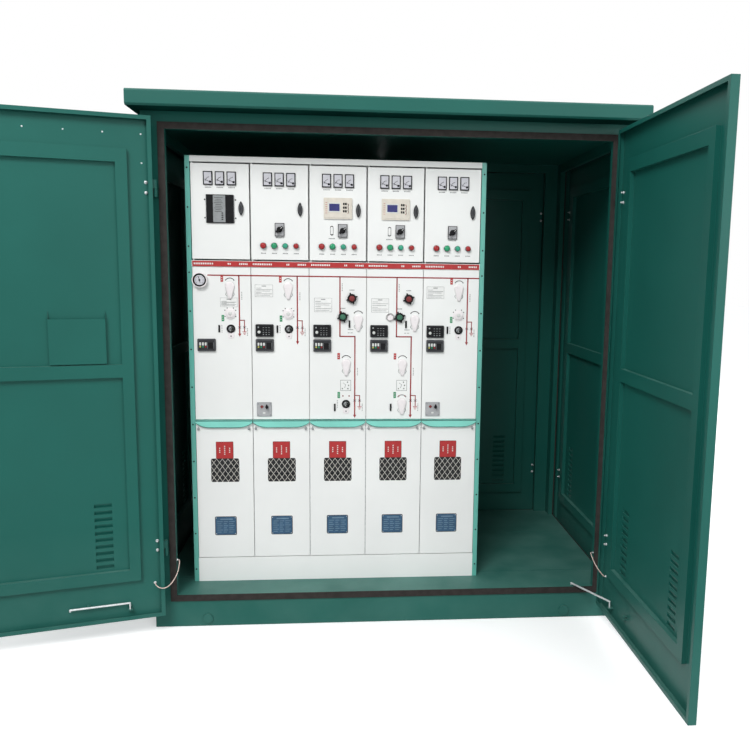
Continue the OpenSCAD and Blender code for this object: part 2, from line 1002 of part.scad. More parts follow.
module pressure_gauge() {
    color(grey)
        translate([bay_left(0) + gauge_x, gear_y, panel_z(gauge_up)])
            rotate([90, 0, 0])
                difference() {
                    cylinder(d = gauge_d, h = gauge_out);
                    translate([0, 0, gauge_out - gauge_bezel])
                        cylinder(d = gauge_d - 2 * gauge_bezel, h = gauge_bezel + 1);
                }
}

module indicator_boxes() {
    color(grey) {
        for (i = [0 : bay_n - 1])
            on_front(bay_left(i) + box_x, gear_y, panel_z(live_up), box_out)
                round_square(box_w, level_k * box_h, box_r);
        for (i = fault_bays)
            on_front(bay_left(i) + box_x, gear_y, panel_z(fault_up), box_out)
                round_square(box_w, level_k * box_h, box_r);
    }
}

// Teardrop cover: a round head that tapers to a small round tail
module key_outline() {
    head_r = key_d / 2;
    tail_r = key_tail_d / 2;
    drop = level_k * key_h - head_r - tail_r;
    a = asin((head_r - tail_r) / drop);
    circle(head_r);
    translate([0, -drop])
        circle(tail_r);
    polygon([
        [head_r * cos(a), -head_r * sin(a)], [tail_r * cos(a), -drop - tail_r * sin(a)],
        [-tail_r * cos(a), -drop - tail_r * sin(a)], [-head_r * cos(a), -head_r * sin(a)]
    ]);
}

module operating_covers() {
    color(white) {
        for (i = switch_bays) {
            on_front(bay_left(i) + switch_key_x, gear_y, panel_z(switch_key_up), key_out)
                key_outline();
            on_front(bay_left(i) + switch_key_x, gear_y, panel_z(hub_up), key_out)
                circle(d = hub_d);
        }
        for (i = breaker_bays) {
            on_front(bay_left(i) + breaker_key_x, gear_y, panel_z(breaker_key_up), key_out)
                key_outline();
            on_front(bay_left(i) + earth_key_x, gear_y, panel_z(earth_key_up), key_out)
                key_outline();
        }
    }
}

// Knob with a gripped rim and a raised round face
module breaker_button(x, up) {
    on_front(x, gear_y, panel_z(up), button_out)
        difference() {
            circle(d = button_d);
            for (k = [0 : button_grips - 1])
                rotate(k * 360 / button_grips)
                    translate([button_d / 2, 0])
                        circle(d = button_grip_d, $fn = 16);
        }
    on_front(x, gear_y - button_out, panel_z(up), button_face_out)
        circle(d = button_face_d);
}

module breaker_buttons() {
    for (i = breaker_bays) {
        color("#c8383a")
            breaker_button(bay_left(i) + trip_x, trip_up);
        color("#2f8f4e")
            breaker_button(bay_left(i) + close_x, close_up);
    }
}

// Round dial with a raised rim
module position_dial(x, z) {
    on_front(x, gear_y, z, dial_floor)
        circle(d = dial_d);
    on_front(x, gear_y - dial_floor, z, dial_out - dial_floor)
        difference() {
            circle(d = dial_d);
            circle(d = dial_d - 2 * dial_rim);
        }
}

module position_slot(x, z) {
    on_front(x, gear_y, z, dial_out)
        square([slot_w, level_k * slot_h], center = true);
}

module position_indicators() {
    color(black) {
        for (i = switch_bays) {
            position_dial(bay_left(i) + dial_x, panel_z(switch_dial_up));
            position_slot(bay_left(i) + slot_x, panel_z(switch_dial_up));
        }
        for (i = breaker_bays) {
            position_dial(bay_left(i) + dial_x, panel_z(earth_dial_up));
            position_slot(bay_left(i) + slot_x, panel_z(earth_slot_up));
            position_slot(bay_left(i) + breaker_slot_x, panel_z(breaker_slot_up));
        }
    }
}

module interlock_plates() {
    color(grey)
        for (i = lock_bays) {
            on_front(bay_left(i) + lock_x, gear_y, panel_z(lock_up), lock_out)
                round_square(lock_w, lock_h, lock_r);
            on_front(bay_left(i) + lock_x, gear_y - lock_out, panel_z(lock_up), lock_barrel_out)
                translate([lock_barrel_x, lock_barrel_up])
                    circle(d = lock_barrel_d);
        }
}

// Instrument doors

module lv_place(i) {
    translate([bay_left(i) + lv_gap / 2, gear_y, lv_z + lv_gap])
        children();
}

// Outlines of the instrument bodies that pass through a door
module instrument_bodies(i, grow) {
    for (k = [-1, 0, 1])
        translate([bay_w / 2 + k * meter_pitch, level_k * meter_z])
            square([meter_w, meter_h] - body_trim + [grow, grow], center = true);
    if (i == 0)
        translate([bay_w / 2, level_k * controller_z])
            square([controller_w, controller_h] - body_trim + [grow, grow], center = true);
    if (is_breaker(i))
        translate([bay_w / 2, level_k * relay_z])
            square([relay_w, relay_h] - body_trim + [grow, grow], center = true);
    if (i > 0) {
        for (k = [-1.5 : 1 : 1.5])
            translate([bay_w / 2 + k * lamp_pitch, level_k * lamp_z])
                circle(d = lamp_size(k) - 2 * body_inset + grow);
        translate([selector_x(i), level_k * selector_z])
            circle(d = knob_d - 2 * body_inset + grow);
    }
}

// Outlines of the bezels that lie on the door's face
module instrument_bezels(i) {
    for (k = [-1, 0, 1])
        translate([bay_w / 2 + k * meter_pitch, level_k * meter_z])
            square([meter_w, meter_h], center = true);
    if (i == 0)
        translate([bay_w / 2, level_k * controller_z])
            round_square(controller_w, controller_h, bezel_r);
    if (is_breaker(i))
        translate([bay_w / 2, level_k * relay_z])
            round_square(relay_w, relay_h, bezel_r);
    if (i > 0)
        translate([selector_x(i), level_k * selector_z])
            square([selector_w, selector_h], center = true);
}

module lv_door(i) {
    color(white)
        lv_place(i)
            difference() {
                union() {
                    difference() {
                        cube([lv_door_w, panel_t, lv_door_h]);
                        translate([sheet_t, sheet_t, sheet_t])
                            cube([lv_door_w - 2 * sheet_t, panel_t, lv_door_h - 2 * sheet_t]);
                    }
                    rod_z(lv_axis, lv_axis, 0, lv_axis - 1, lv_door_h);
                    rod_z(lv_axis, lv_axis, -lv_pin_reach, lv_pin_r, lv_door_h + 2 * lv_pin_reach);
                }
                translate([-lv_gap / 2, sheet_t + 1, -lv_gap])
                    rotate([90, 0, 0])
                        linear_extrude(sheet_t + 2)
                            instrument_bodies(i, fit);
            }
}

// Round boss with a bar across it, turned to one side
module selector_knob() {
    cylinder(d = knob_d, h = knob_out);
    rotate(knob_turn)
        linear_extrude(knob_bar_out)
            round_square(knob_bar_w, knob_bar_h, knob_bar_w / 2 - fit);
}

// Two arcs that meet in a point at the top and the bottom
module latch_outline() {
    bow_r = (latch_h * latch_h / 4 + latch_w * latch_w / 4) / latch_w;
    intersection_for (s = [-1, 1])
        translate([s * (bow_r - latch_w / 2), 0])
            circle(bow_r, $fn = 180);
}

module instruments(i) {
    color(black)
        lv_place(i)
            translate([-lv_gap / 2, 0, -lv_gap])
                rotate([90, 0, 0]) {
                    linear_extrude(meter_out)
                        instrument_bezels(i);
                    translate([0, 0, -body_depth])
                        linear_extrude(body_depth + meter_out)
                            instrument_bodies(i, 0);
                    if (i > 0) {
                        for (k = [-1.5 : 1 : 1.5])
                            translate([bay_w / 2 + k * lamp_pitch, level_k * lamp_z])
                                cylinder(d = lamp_size(k), h = lamp_out);
                        translate([selector_x(i), level_k * selector_z, 0])
                            selector_knob();
                    }
                    translate([latch_x, level_k * latch_z])
                        linear_extrude(latch_out)
                            latch_outline();
                }
}

base_long_beams();
base_cross_beams();
floor_plates();
corner_posts();
head_rails();
ceiling_panel();
roof();
lifting_caps();
door_gaskets();
hinge_brackets();
left_bonding_lead();
right_bonding_lead();
front_left_door();
front_right_door();
rear_left_door();
rear_right_door();
left_side_door();
right_side_door();
front_left_stay();
front_right_stay();
document_pocket();
gear_plinth();
left_end_cover();
right_end_cover();
top_cap();
gear_rear_panel();
gas_tank();
cable_partitions();
lv_back_panel();
lv_partitions();
label_rail();
mechanism_panels();
cable_covers();
window_meshes();
canopy_strips();
pressure_gauge();
indicator_boxes();
operating_covers();
breaker_buttons();
position_indicators();
interlock_plates();
lv_door(0);  // bay_1_lv_door
lv_door(1);  // bay_2_lv_door
lv_door(2);  // bay_3_lv_door
lv_door(3);  // bay_4_lv_door
lv_door(4);  // bay_5_lv_door
instruments(0);  // bay_1_instruments
instruments(1);  // bay_2_instruments
instruments(2);  // bay_3_instruments
instruments(3);  // bay_4_instruments
instruments(4);  // bay_5_instruments
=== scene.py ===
"""Dresses the five-bay gas insulated switchgear and its kiosk: finishes, small fittings, light and camera."""

import json
import math

import bpy
from mathutils import Matrix, Vector


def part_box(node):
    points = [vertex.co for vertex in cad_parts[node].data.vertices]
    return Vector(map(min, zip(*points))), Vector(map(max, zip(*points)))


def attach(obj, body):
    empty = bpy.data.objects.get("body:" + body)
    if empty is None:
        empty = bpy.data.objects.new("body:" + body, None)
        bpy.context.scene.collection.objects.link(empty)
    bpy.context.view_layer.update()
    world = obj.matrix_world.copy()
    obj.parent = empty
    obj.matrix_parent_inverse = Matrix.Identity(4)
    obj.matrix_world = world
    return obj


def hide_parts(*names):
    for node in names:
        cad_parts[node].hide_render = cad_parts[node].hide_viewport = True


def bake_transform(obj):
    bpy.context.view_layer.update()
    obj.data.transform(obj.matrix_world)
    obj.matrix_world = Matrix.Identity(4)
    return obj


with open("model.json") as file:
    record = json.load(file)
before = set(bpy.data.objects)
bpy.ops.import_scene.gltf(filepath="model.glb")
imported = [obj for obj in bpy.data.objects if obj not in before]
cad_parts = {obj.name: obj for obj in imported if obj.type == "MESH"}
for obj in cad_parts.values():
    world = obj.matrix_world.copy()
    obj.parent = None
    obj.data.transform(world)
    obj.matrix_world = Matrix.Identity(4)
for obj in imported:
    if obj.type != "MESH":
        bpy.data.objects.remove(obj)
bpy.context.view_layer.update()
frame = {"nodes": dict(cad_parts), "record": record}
nodes = frame["nodes"]

MM = 0.001

# Camera, from the photograph's own perspective: focal length and picture centre in pixels
PICTURE = 750
FOCAL = 772.5
CENTRE_X = 410
EYE = Vector((-0.2509, -4.7514, 1.9324))
YAW = math.radians(-4.91)
PITCH = math.radians(-7.78)
ROLL = math.radians(0.78)

# Switchgear: bays are counted from 0 at the left, and places are read from the frame
BAYS = 5
FIRST_BAY = 0
BREAKER_BAYS = (2, 3)
FAULT_BAYS = (1, 2, 3, 4)
LOCK_BAYS = (1, 4)
COVERED_BAY = 3
CAP_BAY = 3
rail_low, rail_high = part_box("label_rail")
FRONT_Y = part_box("mechanism_panels")[0][1]
FLOOR_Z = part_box("gear_plinth")[0][2]
BAYS_X = rail_low[0]
BAY_W = (rail_high[0] - rail_low[0]) / BAYS / MM

# Kiosk doors: the thickness of their skin, and how far the front ones stand open, in degrees
SKIN = 3
LEFT_ANGLE = 165
RIGHT_ANGLE = 90

# Headings of each door leaf, in degrees: from the hinge to the free edge, and inwards
DOORS = {
    "front_left": (-LEFT_ANGLE, 90 - LEFT_ANGLE),
    "front_right": (180 + RIGHT_ANGLE, 90 + RIGHT_ANGLE),
    "rear_left": (0, -90),
    "rear_right": (180, -90),
    "left_side": (-90, 0),
    "right_side": (-90, 180),
}


# Shapes: each is gathered face by face on planes and becomes one piece


def new_object(name, data):
    obj = bpy.data.objects.new(name, data)
    bpy.context.scene.collection.objects.link(obj)
    return obj


class Shape:
    """Faces with materials that end as one mesh object."""

    def __init__(self):
        self.points = []
        self.faces = []
        self.looks = []
        self.smooth = []
        self.materials = []

    def add(self, plane, points, faces, material, smooth=False):
        if material not in self.materials:
            self.materials.append(material)
        start = len(self.points)
        self.points += [plane @ Vector(p) for p in points]
        self.faces += [[start + k for k in face] for face in faces]
        self.looks += [self.materials.index(material)] * len(faces)
        self.smooth += [smooth] * len(faces)

    def piece(self, name, body):
        mesh = bpy.data.meshes.new(name)
        mesh.from_pydata(self.points, [], self.faces)
        for material in self.materials:
            mesh.materials.append(material)
        mesh.polygons.foreach_set("material_index", self.looks)
        mesh.polygons.foreach_set("use_smooth", self.smooth)
        mesh.validate()
        mesh.update()
        obj = new_object(name, mesh)
        if body:
            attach(obj, body)
        return obj


def plane_at(origin, right, up, out):
    """Plane whose first axis runs right, second up and third out of the surface, in millimetres."""
    axes = Matrix((right, up, out)).transposed() * MM
    return Matrix.Translation(origin) @ axes.to_4x4()


def on_gear(bay, x, z, out=0):
    """Plane on the switchgear's front, at x from the bay's left edge and z over the floor plate."""
    origin = Vector((BAYS_X + (bay * BAY_W + x) * MM, FRONT_Y - out * MM, FLOOR_Z + z * MM))
    return plane_at(origin, (1, 0, 0), (0, 0, 1), (0, -1, 0))


def axis_of(joint):
    return next(Vector(j["pos_m"]) for j in frame["record"]["behaviour"]["joints"] if j["name"] == joint)


def on_leaf(door, x, depth, z):
    """Plane inside a kiosk door: x from the hinge axis, depth from the outer face, z over the ground."""
    along, inward = [Matrix.Rotation(math.radians(a), 3, "Z") @ Vector((1, 0, 0)) for a in DOORS[door]]
    origin = axis_of(f"{door}_door_hinge") + along * (x * MM) + inward * (depth * MM)
    origin.z = z * MM
    return plane_at(origin, Vector((0, 0, 1)).cross(inward), (0, 0, 1), inward)


def polar(radius, degrees):
    """Point of a plane at a radius, and at an angle from the plane's first axis."""
    a = math.radians(degrees)
    return radius * math.cos(a), radius * math.sin(a)


def rect(w, h, r=0, steps=4):
    """Outline of a rectangle about the origin, with round corners where r is given."""
    if r == 0:
        return [(-w / 2, -h / 2), (w / 2, -h / 2), (w / 2, h / 2), (-w / 2, h / 2)]
    inner = rect(w - 2 * r, h - 2 * r)
    outline = []
    for k, (x, y) in enumerate(inner[2:] + inner[:2]):
        for s in range(steps + 1):
            u, v = polar(r, 90 * (k + s / steps))
            outline.append((x + u, y + v))
    return outline


def circle(d, steps=32):
    return [polar(d / 2, 360 * k / steps) for k in range(steps)]


def bow(w, h, steps=12):
    """Outline of two arcs that meet in a point at the top and the bottom."""
    r = (h * h + w * w) / (4 * w)
    half = math.asin(h / 2 / r)
    side = [(r * math.cos(a) - r + w / 2, r * math.sin(a)) for a in
            [half * (2 * k / steps - 1) for k in range(steps + 1)]]
    return side + [(-u, -v) for u, v in side[1:-1]]


def stack(shape, plane, outline, levels, material, smooth=False):
    """Closed form over an outline, from (height, share of the outline) pairs."""
    n = len(outline)
    points = [(u * k, v * k, w) for w, k in levels for u, v in outline]
    faces = [list(range(n))[::-1], [(len(levels) - 1) * n + k for k in range(n)]]
    for level in range(len(levels) - 1):
        for k in range(n):
            a, b = level * n + k, level * n + (k + 1) % n
            faces.append([a, b, b + n, a + n])
    shape.add(plane, points, faces, material, smooth)


def plate(shape, plane, outline, low, high, material, chamfer=0):
    """Closed plate with the outline, from low to high over the plane, its front edge chamfered."""
    levels = [(low, 1), (high - chamfer, 1)]
    if chamfer:
        levels.append((high, 1 - chamfer / max(max(abs(u), abs(v)) for u, v in outline)))
    stack(shape, plane, outline, levels, material)


def teardrop(head_d, tail_d, drop, steps=24):
    """Outline of a round head about the origin that narrows to a round tail under it."""
    lean = math.degrees(math.asin((head_d - tail_d) / 2 / drop))
    head = [polar(head_d / 2, (180 + 2 * lean) * k / steps - lean) for k in range(steps + 1)]
    tail = [polar(tail_d / 2, 180 + lean + (180 - 2 * lean) * k / steps) for k in range(steps + 1)]
    return head + [(u, v - drop) for u, v in tail]


def turned(shape, plane, profile, material, steps=32):
    """Turned form about the plane's normal, closed at both ends, from (radius, height) pairs."""
    points = [(0, 0, profile[0][1])]
    for r, w in profile:
        points += [(u * r * 2, v * r * 2, w) for u, v in circle(1, steps)]
    points.append((0, 0, profile[-1][1]))
    faces = [[0, 1 + (k + 1) % steps, 1 + k] for k in range(steps)]
    for ring in range(len(profile) - 1):
        base = 1 + ring * steps
        for k in range(steps):
            a, b = base + k, base + (k + 1) % steps
            faces.append([a, b, b + steps, a + steps])
    last = 1 + (len(profile) - 1) * steps
    faces += [[len(points) - 1, last + k, last + (k + 1) % steps] for k in range(steps)]
    shape.add(plane, points, faces, material, smooth=True)


def bar(shape, plane, start, end, width, low, high, material):
    """Straight bar between two points of the plane."""
    a, b = Vector(start), Vector(end)
    side = Vector((a.y - b.y, b.x - a.x)).normalized() * (width / 2)
    corners = [a - side, b - side, b + side, a + side]
    points = [(c.x, c.y, w) for w in (low, high) for c in corners]
    walls = [[k, (k + 1) % 4, 4 + (k + 1) % 4, 4 + k] for k in range(4)]
    shape.add(plane, points, [[3, 2, 1, 0], [4, 5, 6, 7]] + walls, material)


def line(shape, plane, route, width, material, low=0.0, high=0.5):
    """Line of printed tape along a route, with square corners."""
    for a, b in zip(route, route[1:]):
        heading = (Vector(b) - Vector(a)).normalized() * (width / 2)
        bar(shape, plane, Vector(a) - heading, Vector(b) + heading, width, low, high, material)


def arc(shape, plane, radius, from_deg, to_deg, width, material, low=0.0, high=0.5, steps=16):
    route = [polar(radius, from_deg + (to_deg - from_deg) * k / steps) for k in range(steps + 1)]
    line(shape, plane, route, width, material, low, high)


# Materials


def new_material(name):
    material = bpy.data.materials.new(name)
    material.use_nodes = True
    return material, material.node_tree.nodes, material.node_tree.links


def noise(tree, links, scale, detail=4, coordinate=None):
    texture = tree.new("ShaderNodeTexNoise")
    texture.inputs["Scale"].default_value = scale
    texture.inputs["Detail"].default_value = detail
    if coordinate:
        links.new(coordinate, texture.inputs["Vector"])
    return texture


def ramp(tree, links, source, low, high, at=(0.35, 0.65)):
    node = tree.new("ShaderNodeValToRGB")
    node.color_ramp.elements[0].position = at[0]
    node.color_ramp.elements[1].position = at[1]
    node.color_ramp.elements[0].color = (*low, 1)
    node.color_ramp.elements[1].color = (*high, 1)
    links.new(source, node.inputs["Fac"])
    return node


def mapped(tree, links, source, low, high, start=0.0, end=1.0):
    """Value that goes from low to high while its source goes from start to end."""
    node = tree.new("ShaderNodeMapRange")
    for name, value in (("From Min", start), ("From Max", end), ("To Min", low), ("To Max", high)):
        node.inputs[name].default_value = value
    links.new(source, node.inputs["Value"])
    return node.outputs["Result"]


def combined(tree, links, operation, a, b):
    node = tree.new("ShaderNodeMath")
    node.operation = operation
    links.new(a, node.inputs[0])
    links.new(b, node.inputs[1])
    return node.outputs["Value"]


def upward(tree, links, source):
    """Third number of a place or a direction."""
    split = tree.new("ShaderNodeSeparateXYZ")
    links.new(source, split.inputs["Vector"])
    return split.outputs["Z"]


def tone(colour, k):
    return tuple(min(1.0, c * k) for c in colour)


def surface(name, colour, rough, metallic=0.0, vary=0.08, patch=3.0, grain=480.0, bump=0.06, edge=0.0,
            coat=0.0, shine=0.5):
    """Opaque finish: colour that drifts in soft patches, uneven gloss, and a fine relief."""
    material, tree, links = new_material(name)
    shader = tree["Principled BSDF"]
    where = tree.new("ShaderNodeTexCoord").outputs["Object"]
    patches = noise(tree, links, patch, 5, where)
    fine = noise(tree, links, grain, 3, where)
    shade = ramp(tree, links, patches.outputs["Fac"], tone(colour, 1 - vary), tone(colour, 1 + vary))
    links.new(shade.outputs["Color"], shader.inputs["Base Color"])
    gloss = mapped(tree, links, patches.outputs["Fac"], rough * 0.8, min(1, rough * 1.25))
    links.new(gloss, shader.inputs["Roughness"])
    shader.inputs["Metallic"].default_value = metallic
    shader.inputs["Coat Weight"].default_value = coat
    shader.inputs["Specular IOR Level"].default_value = shine
    relief = tree.new("ShaderNodeBump")
    relief.inputs["Strength"].default_value = bump
    relief.inputs["Distance"].default_value = MM
    links.new(fine.outputs["Fac"], relief.inputs["Height"])
    if edge:
        rounding = tree.new("ShaderNodeBevel")
        rounding.samples = 4
        rounding.inputs["Radius"].default_value = edge * MM
        links.new(rounding.outputs["Normal"], relief.inputs["Normal"])
    links.new(relief.outputs["Normal"], shader.inputs["Normal"])
    return material


def kiosk_paint():
    """Green powder coat with orange peel, and dust that gathers low down and on ledges."""
    material = surface("kiosk_green", (0.009, 0.102, 0.082), 0.4, vary=0.06, patch=1.6, grain=420, bump=0.1,
                       edge=2.0, shine=0.2)
    tree = material.node_tree.nodes
    links = material.node_tree.links
    shader = tree["Principled BSDF"]
    clean = shader.inputs["Base Color"].links[0].from_socket
    geometry = tree.new("ShaderNodeNewGeometry")
    height = upward(tree, links, geometry.outputs["Position"])
    facing = upward(tree, links, geometry.outputs["Normal"])
    low = mapped(tree, links, height, 0.0, 0.25, start=0.6, end=0.0)
    ledge = mapped(tree, links, facing, 0.0, 0.6, start=0.5, end=1.0)
    either = combined(tree, links, "MAXIMUM", low, ledge)
    speckle = noise(tree, links, 5, 10, geometry.outputs["Position"])
    spread = ramp(tree, links, speckle.outputs["Fac"], (0.35, 0.35, 0.35), (1, 1, 1), (0.3, 0.75))
    amount = combined(tree, links, "MULTIPLY", either, spread.outputs["Color"])
    dusty = tree.new("ShaderNodeMix")
    dusty.data_type = "RGBA"
    dusty.inputs["B"].default_value = (0.13, 0.27, 0.235, 1)
    links.new(amount, dusty.inputs["Factor"])
    links.new(clean, dusty.inputs["A"])
    links.new(dusty.outputs["Result"], shader.inputs["Base Color"])
    return material


def dark_glass():
    """Near-black pane with smears in its gloss."""
    material, tree, links = new_material("dark_pane")
    shader = tree["Principled BSDF"]
    shader.inputs["Specular IOR Level"].default_value = 0.2
    smears = noise(tree, links, 9, 4)
    shade = ramp(tree, links, smears.outputs["Fac"], (0.009, 0.01, 0.011), (0.015, 0.016, 0.017))
    links.new(shade.outputs["Color"], shader.inputs["Base Color"])
    links.new(mapped(tree, links, smears.outputs["Fac"], 0.18, 0.42), shader.inputs["Roughness"])
    return material


GREEN = kiosk_paint()
# Roof underside: a dull finish, with its green darkened to about half as painted shade
DULL_UNDERSIDE_PAINTED_SHADE = surface("kiosk_underside_dull_painted_shade", (0.005, 0.045, 0.037), 0.95, vary=0.2, grain=420, bump=0.1, shine=0.0)
WHITE = surface("gear_white", (0.78, 0.79, 0.775), 0.38, vary=0.025, patch=2.5, grain=500, bump=0.04,
                edge=1.2)
TEAL = surface("end_teal", (0.1, 0.39, 0.325), 0.36, vary=0.06, edge=1.5)
# Dark teal of painted shade: the shaded lower edge of the canopies and the shadow line along their tops
PAINTED_SHADE_TEAL = surface("canopy_edge", (0.014, 0.1, 0.083), 0.5, patch=6, bump=0.05)
TURQUOISE = surface("canopy_turquoise", (0.2, 0.6, 0.51), 0.34, vary=0.05, patch=6, bump=0.05, edge=1.5)
FOAM = surface("gasket_foam", (0.032, 0.028, 0.026), 0.9, vary=0.22, patch=30, grain=900, bump=0.6, shine=0.2)
ZINC = surface("zinc", (0.5, 0.52, 0.53), 0.34, 1.0, vary=0.18, patch=60, grain=700, bump=0.12)
MESH = surface("mesh_steel", (0.56, 0.54, 0.49), 0.4, 0.2, vary=0.12, patch=60, grain=900, bump=0.08)
BRIGHT = surface("bright_zinc", (0.66, 0.68, 0.69), 0.36, 0.3, vary=0.1, patch=60, grain=700, bump=0.1)
STAINLESS = surface("stainless", (0.5, 0.5, 0.49), 0.3, 1.0, vary=0.06, patch=12, grain=900, bump=0.1)


def plastic(name, colour, rough, vary=0.06, shine=0.2, coat=0.0):
    """Moulded or printed finish with a fine grain and softened edges."""
    return surface(name, colour, rough, vary=vary, patch=40, grain=1200, bump=0.1, edge=0.8, coat=coat,
                   shine=shine)


BLACK = plastic("black_plastic", (0.009, 0.009, 0.01), 0.55, 0.2, 0.1)
GRAPHITE = plastic("graphite_plastic", (0.03, 0.031, 0.034), 0.5, 0.15, 0.12)
SLATE = plastic("slate_plastic", (0.085, 0.088, 0.094), 0.45, 0.1)
GREY = plastic("grey_plastic", (0.27, 0.285, 0.29), 0.42, 0.08)
PALE = plastic("pale_plastic", (0.62, 0.63, 0.61), 0.4, 0.05, 0.4)
ALLOY = plastic("alloy_plate", (0.36, 0.365, 0.375), 0.4, 0.06, 0.4)
BEIGE = plastic("beige_plastic", (0.64, 0.595, 0.52), 0.45, 0.05, 0.4)
COVER = plastic("cover_plastic", (0.77, 0.73, 0.735), 0.28, 0.03, 0.5)
RED_PRINT = plastic("red_print", (0.4, 0.035, 0.036), 0.4)
MIMIC_RED = plastic("mimic_red", (0.28, 0.03, 0.032), 0.4)
GREEN_PRINT = plastic("green_print", (0.03, 0.25, 0.11), 0.4)
GREY_PRINT = plastic("grey_print", (0.2, 0.21, 0.21), 0.5, 0.2)
PAPER = plastic("paper", (0.78, 0.785, 0.77), 0.55, 0.04)
BLUE = plastic("plate_blue", (0.04, 0.095, 0.165), 0.4, 0.1)
BLUE_LINES = plastic("plate_lines", (0.15, 0.235, 0.32), 0.4, 0.1)
LCD = plastic("lcd", (0.028, 0.03, 0.15), 0.22, 0.12, 0.3, 0.2)
RED_LENS = plastic("red_lens", (0.33, 0.012, 0.014), 0.2, 0.12, 0.25, 0.15)
GREEN_LENS = plastic("green_lens", (0.016, 0.29, 0.13), 0.2, 0.12, 0.25, 0.15)
TEAL_LENS = plastic("teal_lens", (0.03, 0.32, 0.2), 0.2, 0.12, 0.25, 0.15)
YELLOW_LENS = plastic("yellow_lens", (0.5, 0.48, 0.1), 0.25, 0.1, 0.25)
LEAD = plastic("lead_sheath", (0.68, 0.53, 0.47), 0.5, 0.1)
FACE = plastic("meter_face", (0.56, 0.56, 0.6), 0.3, 0.03, 0.3)
DULL_RED = plastic("dull_red", (0.2, 0.035, 0.035), 0.4, 0.15)
DULL_GREEN = plastic("dull_green", (0.045, 0.145, 0.09), 0.4, 0.15)
PANE = dark_glass()


# Frame nodes


def recolour(names, material, rule=None):
    """Gives frame nodes their finish, and another one to each polygon that rule() picks."""
    for name in names:
        mesh = nodes[name].data
        mesh.materials.clear()
        mesh.materials.append(material)
        for polygon in mesh.polygons:
            polygon.material_index = 0
            other = rule(polygon) if rule else None
            if other is None:
                continue
            if other.name not in mesh.materials:
                mesh.materials.append(other)
            polygon.material_index = mesh.materials.find(other.name)


def bay_place(polygon):
    """Bay of a polygon, x from the bay's left edge, z over the floor plate and distance out of the front."""
    x = (polygon.center.x - BAYS_X) / MM
    bay = min(BAYS - 1, max(0, int(x // BAY_W)))
    return bay, x - bay * BAY_W, (polygon.center.z - FLOOR_Z) / MM, (FRONT_Y - polygon.center.y) / MM


# Limits between the finishes of one node, in millimetres; the handles' heights are over the ground
HANDLE_Z = (1270, 1490)
HANDLE_OUT = 0.5
LATTICE_OUT = -3.9
BODY_OUT = -1
LAMPS_TOP = 1900
SELECTORS_TOP = 1998
SELECTOR_FOOT_OUT = 8.5
LATCH_LEFT = 245
RELAYS_TOP = 2140
BUTTON_OUT = 20.5
RED_BUTTON_LOW = 1545
FAULT_BOX_LOW = 1378


def handle_rule(outside):
    """Door handles are black: they stand outside the leaf, between two heights."""

    def rule(polygon):
        stands_out = outside(polygon.center) > HANDLE_OUT * MM
        return BLACK if stands_out and HANDLE_Z[0] < polygon.center.z / MM < HANDLE_Z[1] else None

    return rule


def mesh_rule(polygon):
    """The lattice is bare steel in front of its dark pane."""
    out = bay_place(polygon)[3]
    return MESH if out > LATTICE_OUT else None


def instrument_rule(polygon):
    """Meters are black, lamps, latches and bodies graphite, knobs black on graphite and relays beige."""
    bay, x, z, out = bay_place(polygon)
    if out < BODY_OUT or z < LAMPS_TOP:
        return GRAPHITE
    if z < SELECTORS_TOP and bay > FIRST_BAY:
        return BLACK if out > SELECTOR_FOOT_OUT else GRAPHITE
    if x > LATCH_LEFT:
        return GRAPHITE
    if z < RELAYS_TOP and bay in BREAKER_BAYS:
        return BEIGE
    return None


def roof_rule(polygon):
    """The roof's underside is dull, and its green is darkened as painted shade."""
    return DULL_UNDERSIDE_PAINTED_SHADE if polygon.normal.z < -0.9 else None


def button_rule(polygon):
    """The breaker buttons' ends are red above and green below."""
    bay, x, z, out = bay_place(polygon)
    if out < BUTTON_OUT:
        return None
    return DULL_RED if z > RED_BUTTON_LOW else DULL_GREEN


def box_rule(polygon):
    """Live display boxes are graphite, and the fault display boxes above them black."""
    return GRAPHITE if bay_place(polygon)[2] < FAULT_BOX_LOW else BLACK


def dress_frame():
    recolour(
        ["base_long_beams", "base_cross_beams", "floor_plates", "corner_posts", "head_rails", "ceiling_panel",
         "lifting_caps", "hinge_brackets", "front_left_door", "rear_left_door", "document_pocket"], GREEN)
    recolour(["roof"], GREEN, roof_rule)
    side_axis = abs(axis_of("right_side_door_hinge").x)
    rear_axis = axis_of("rear_right_door_hinge").y
    front_axis = axis_of("front_right_door_hinge").x
    recolour(["front_right_door"], GREEN, handle_rule(lambda c: c.x - front_axis))
    recolour(["rear_right_door"], GREEN, handle_rule(lambda c: c.y - rear_axis))
    recolour(["left_side_door", "right_side_door"], GREEN, handle_rule(lambda c: abs(c.x) - side_axis))
    recolour(["door_gaskets"], FOAM)
    recolour(["front_left_stay", "front_right_stay"], BRIGHT)
    recolour(["cable_partitions"], ZINC)
    recolour(["gear_plinth", "top_cap", "gear_rear_panel", "lv_back_panel", "lv_partitions", "label_rail",
              "mechanism_panels", "cable_covers"] + [f"bay_{n}_lv_door" for n in range(1, BAYS + 1)], WHITE)
    recolour(["left_end_cover", "right_end_cover"], TEAL)
    recolour(["canopy_strips"], TURQUOISE)
    recolour(["gas_tank"], STAINLESS)
    recolour(["window_meshes"], PANE, mesh_rule)
    recolour(["position_indicators"], BLACK)
    recolour([f"bay_{n}_instruments" for n in range(1, BAYS + 1)], BLACK, instrument_rule)
    recolour(["pressure_gauge"], COVER)
    recolour(["interlock_plates"], GREY)
    recolour(["indicator_boxes"], BLACK, box_rule)
    recolour(["operating_covers"], COVER)
    recolour(["breaker_buttons"], BLACK, button_rule)


# Instrument doors: places in a bay, in millimetres, and the lens and radius of each lamp from the left

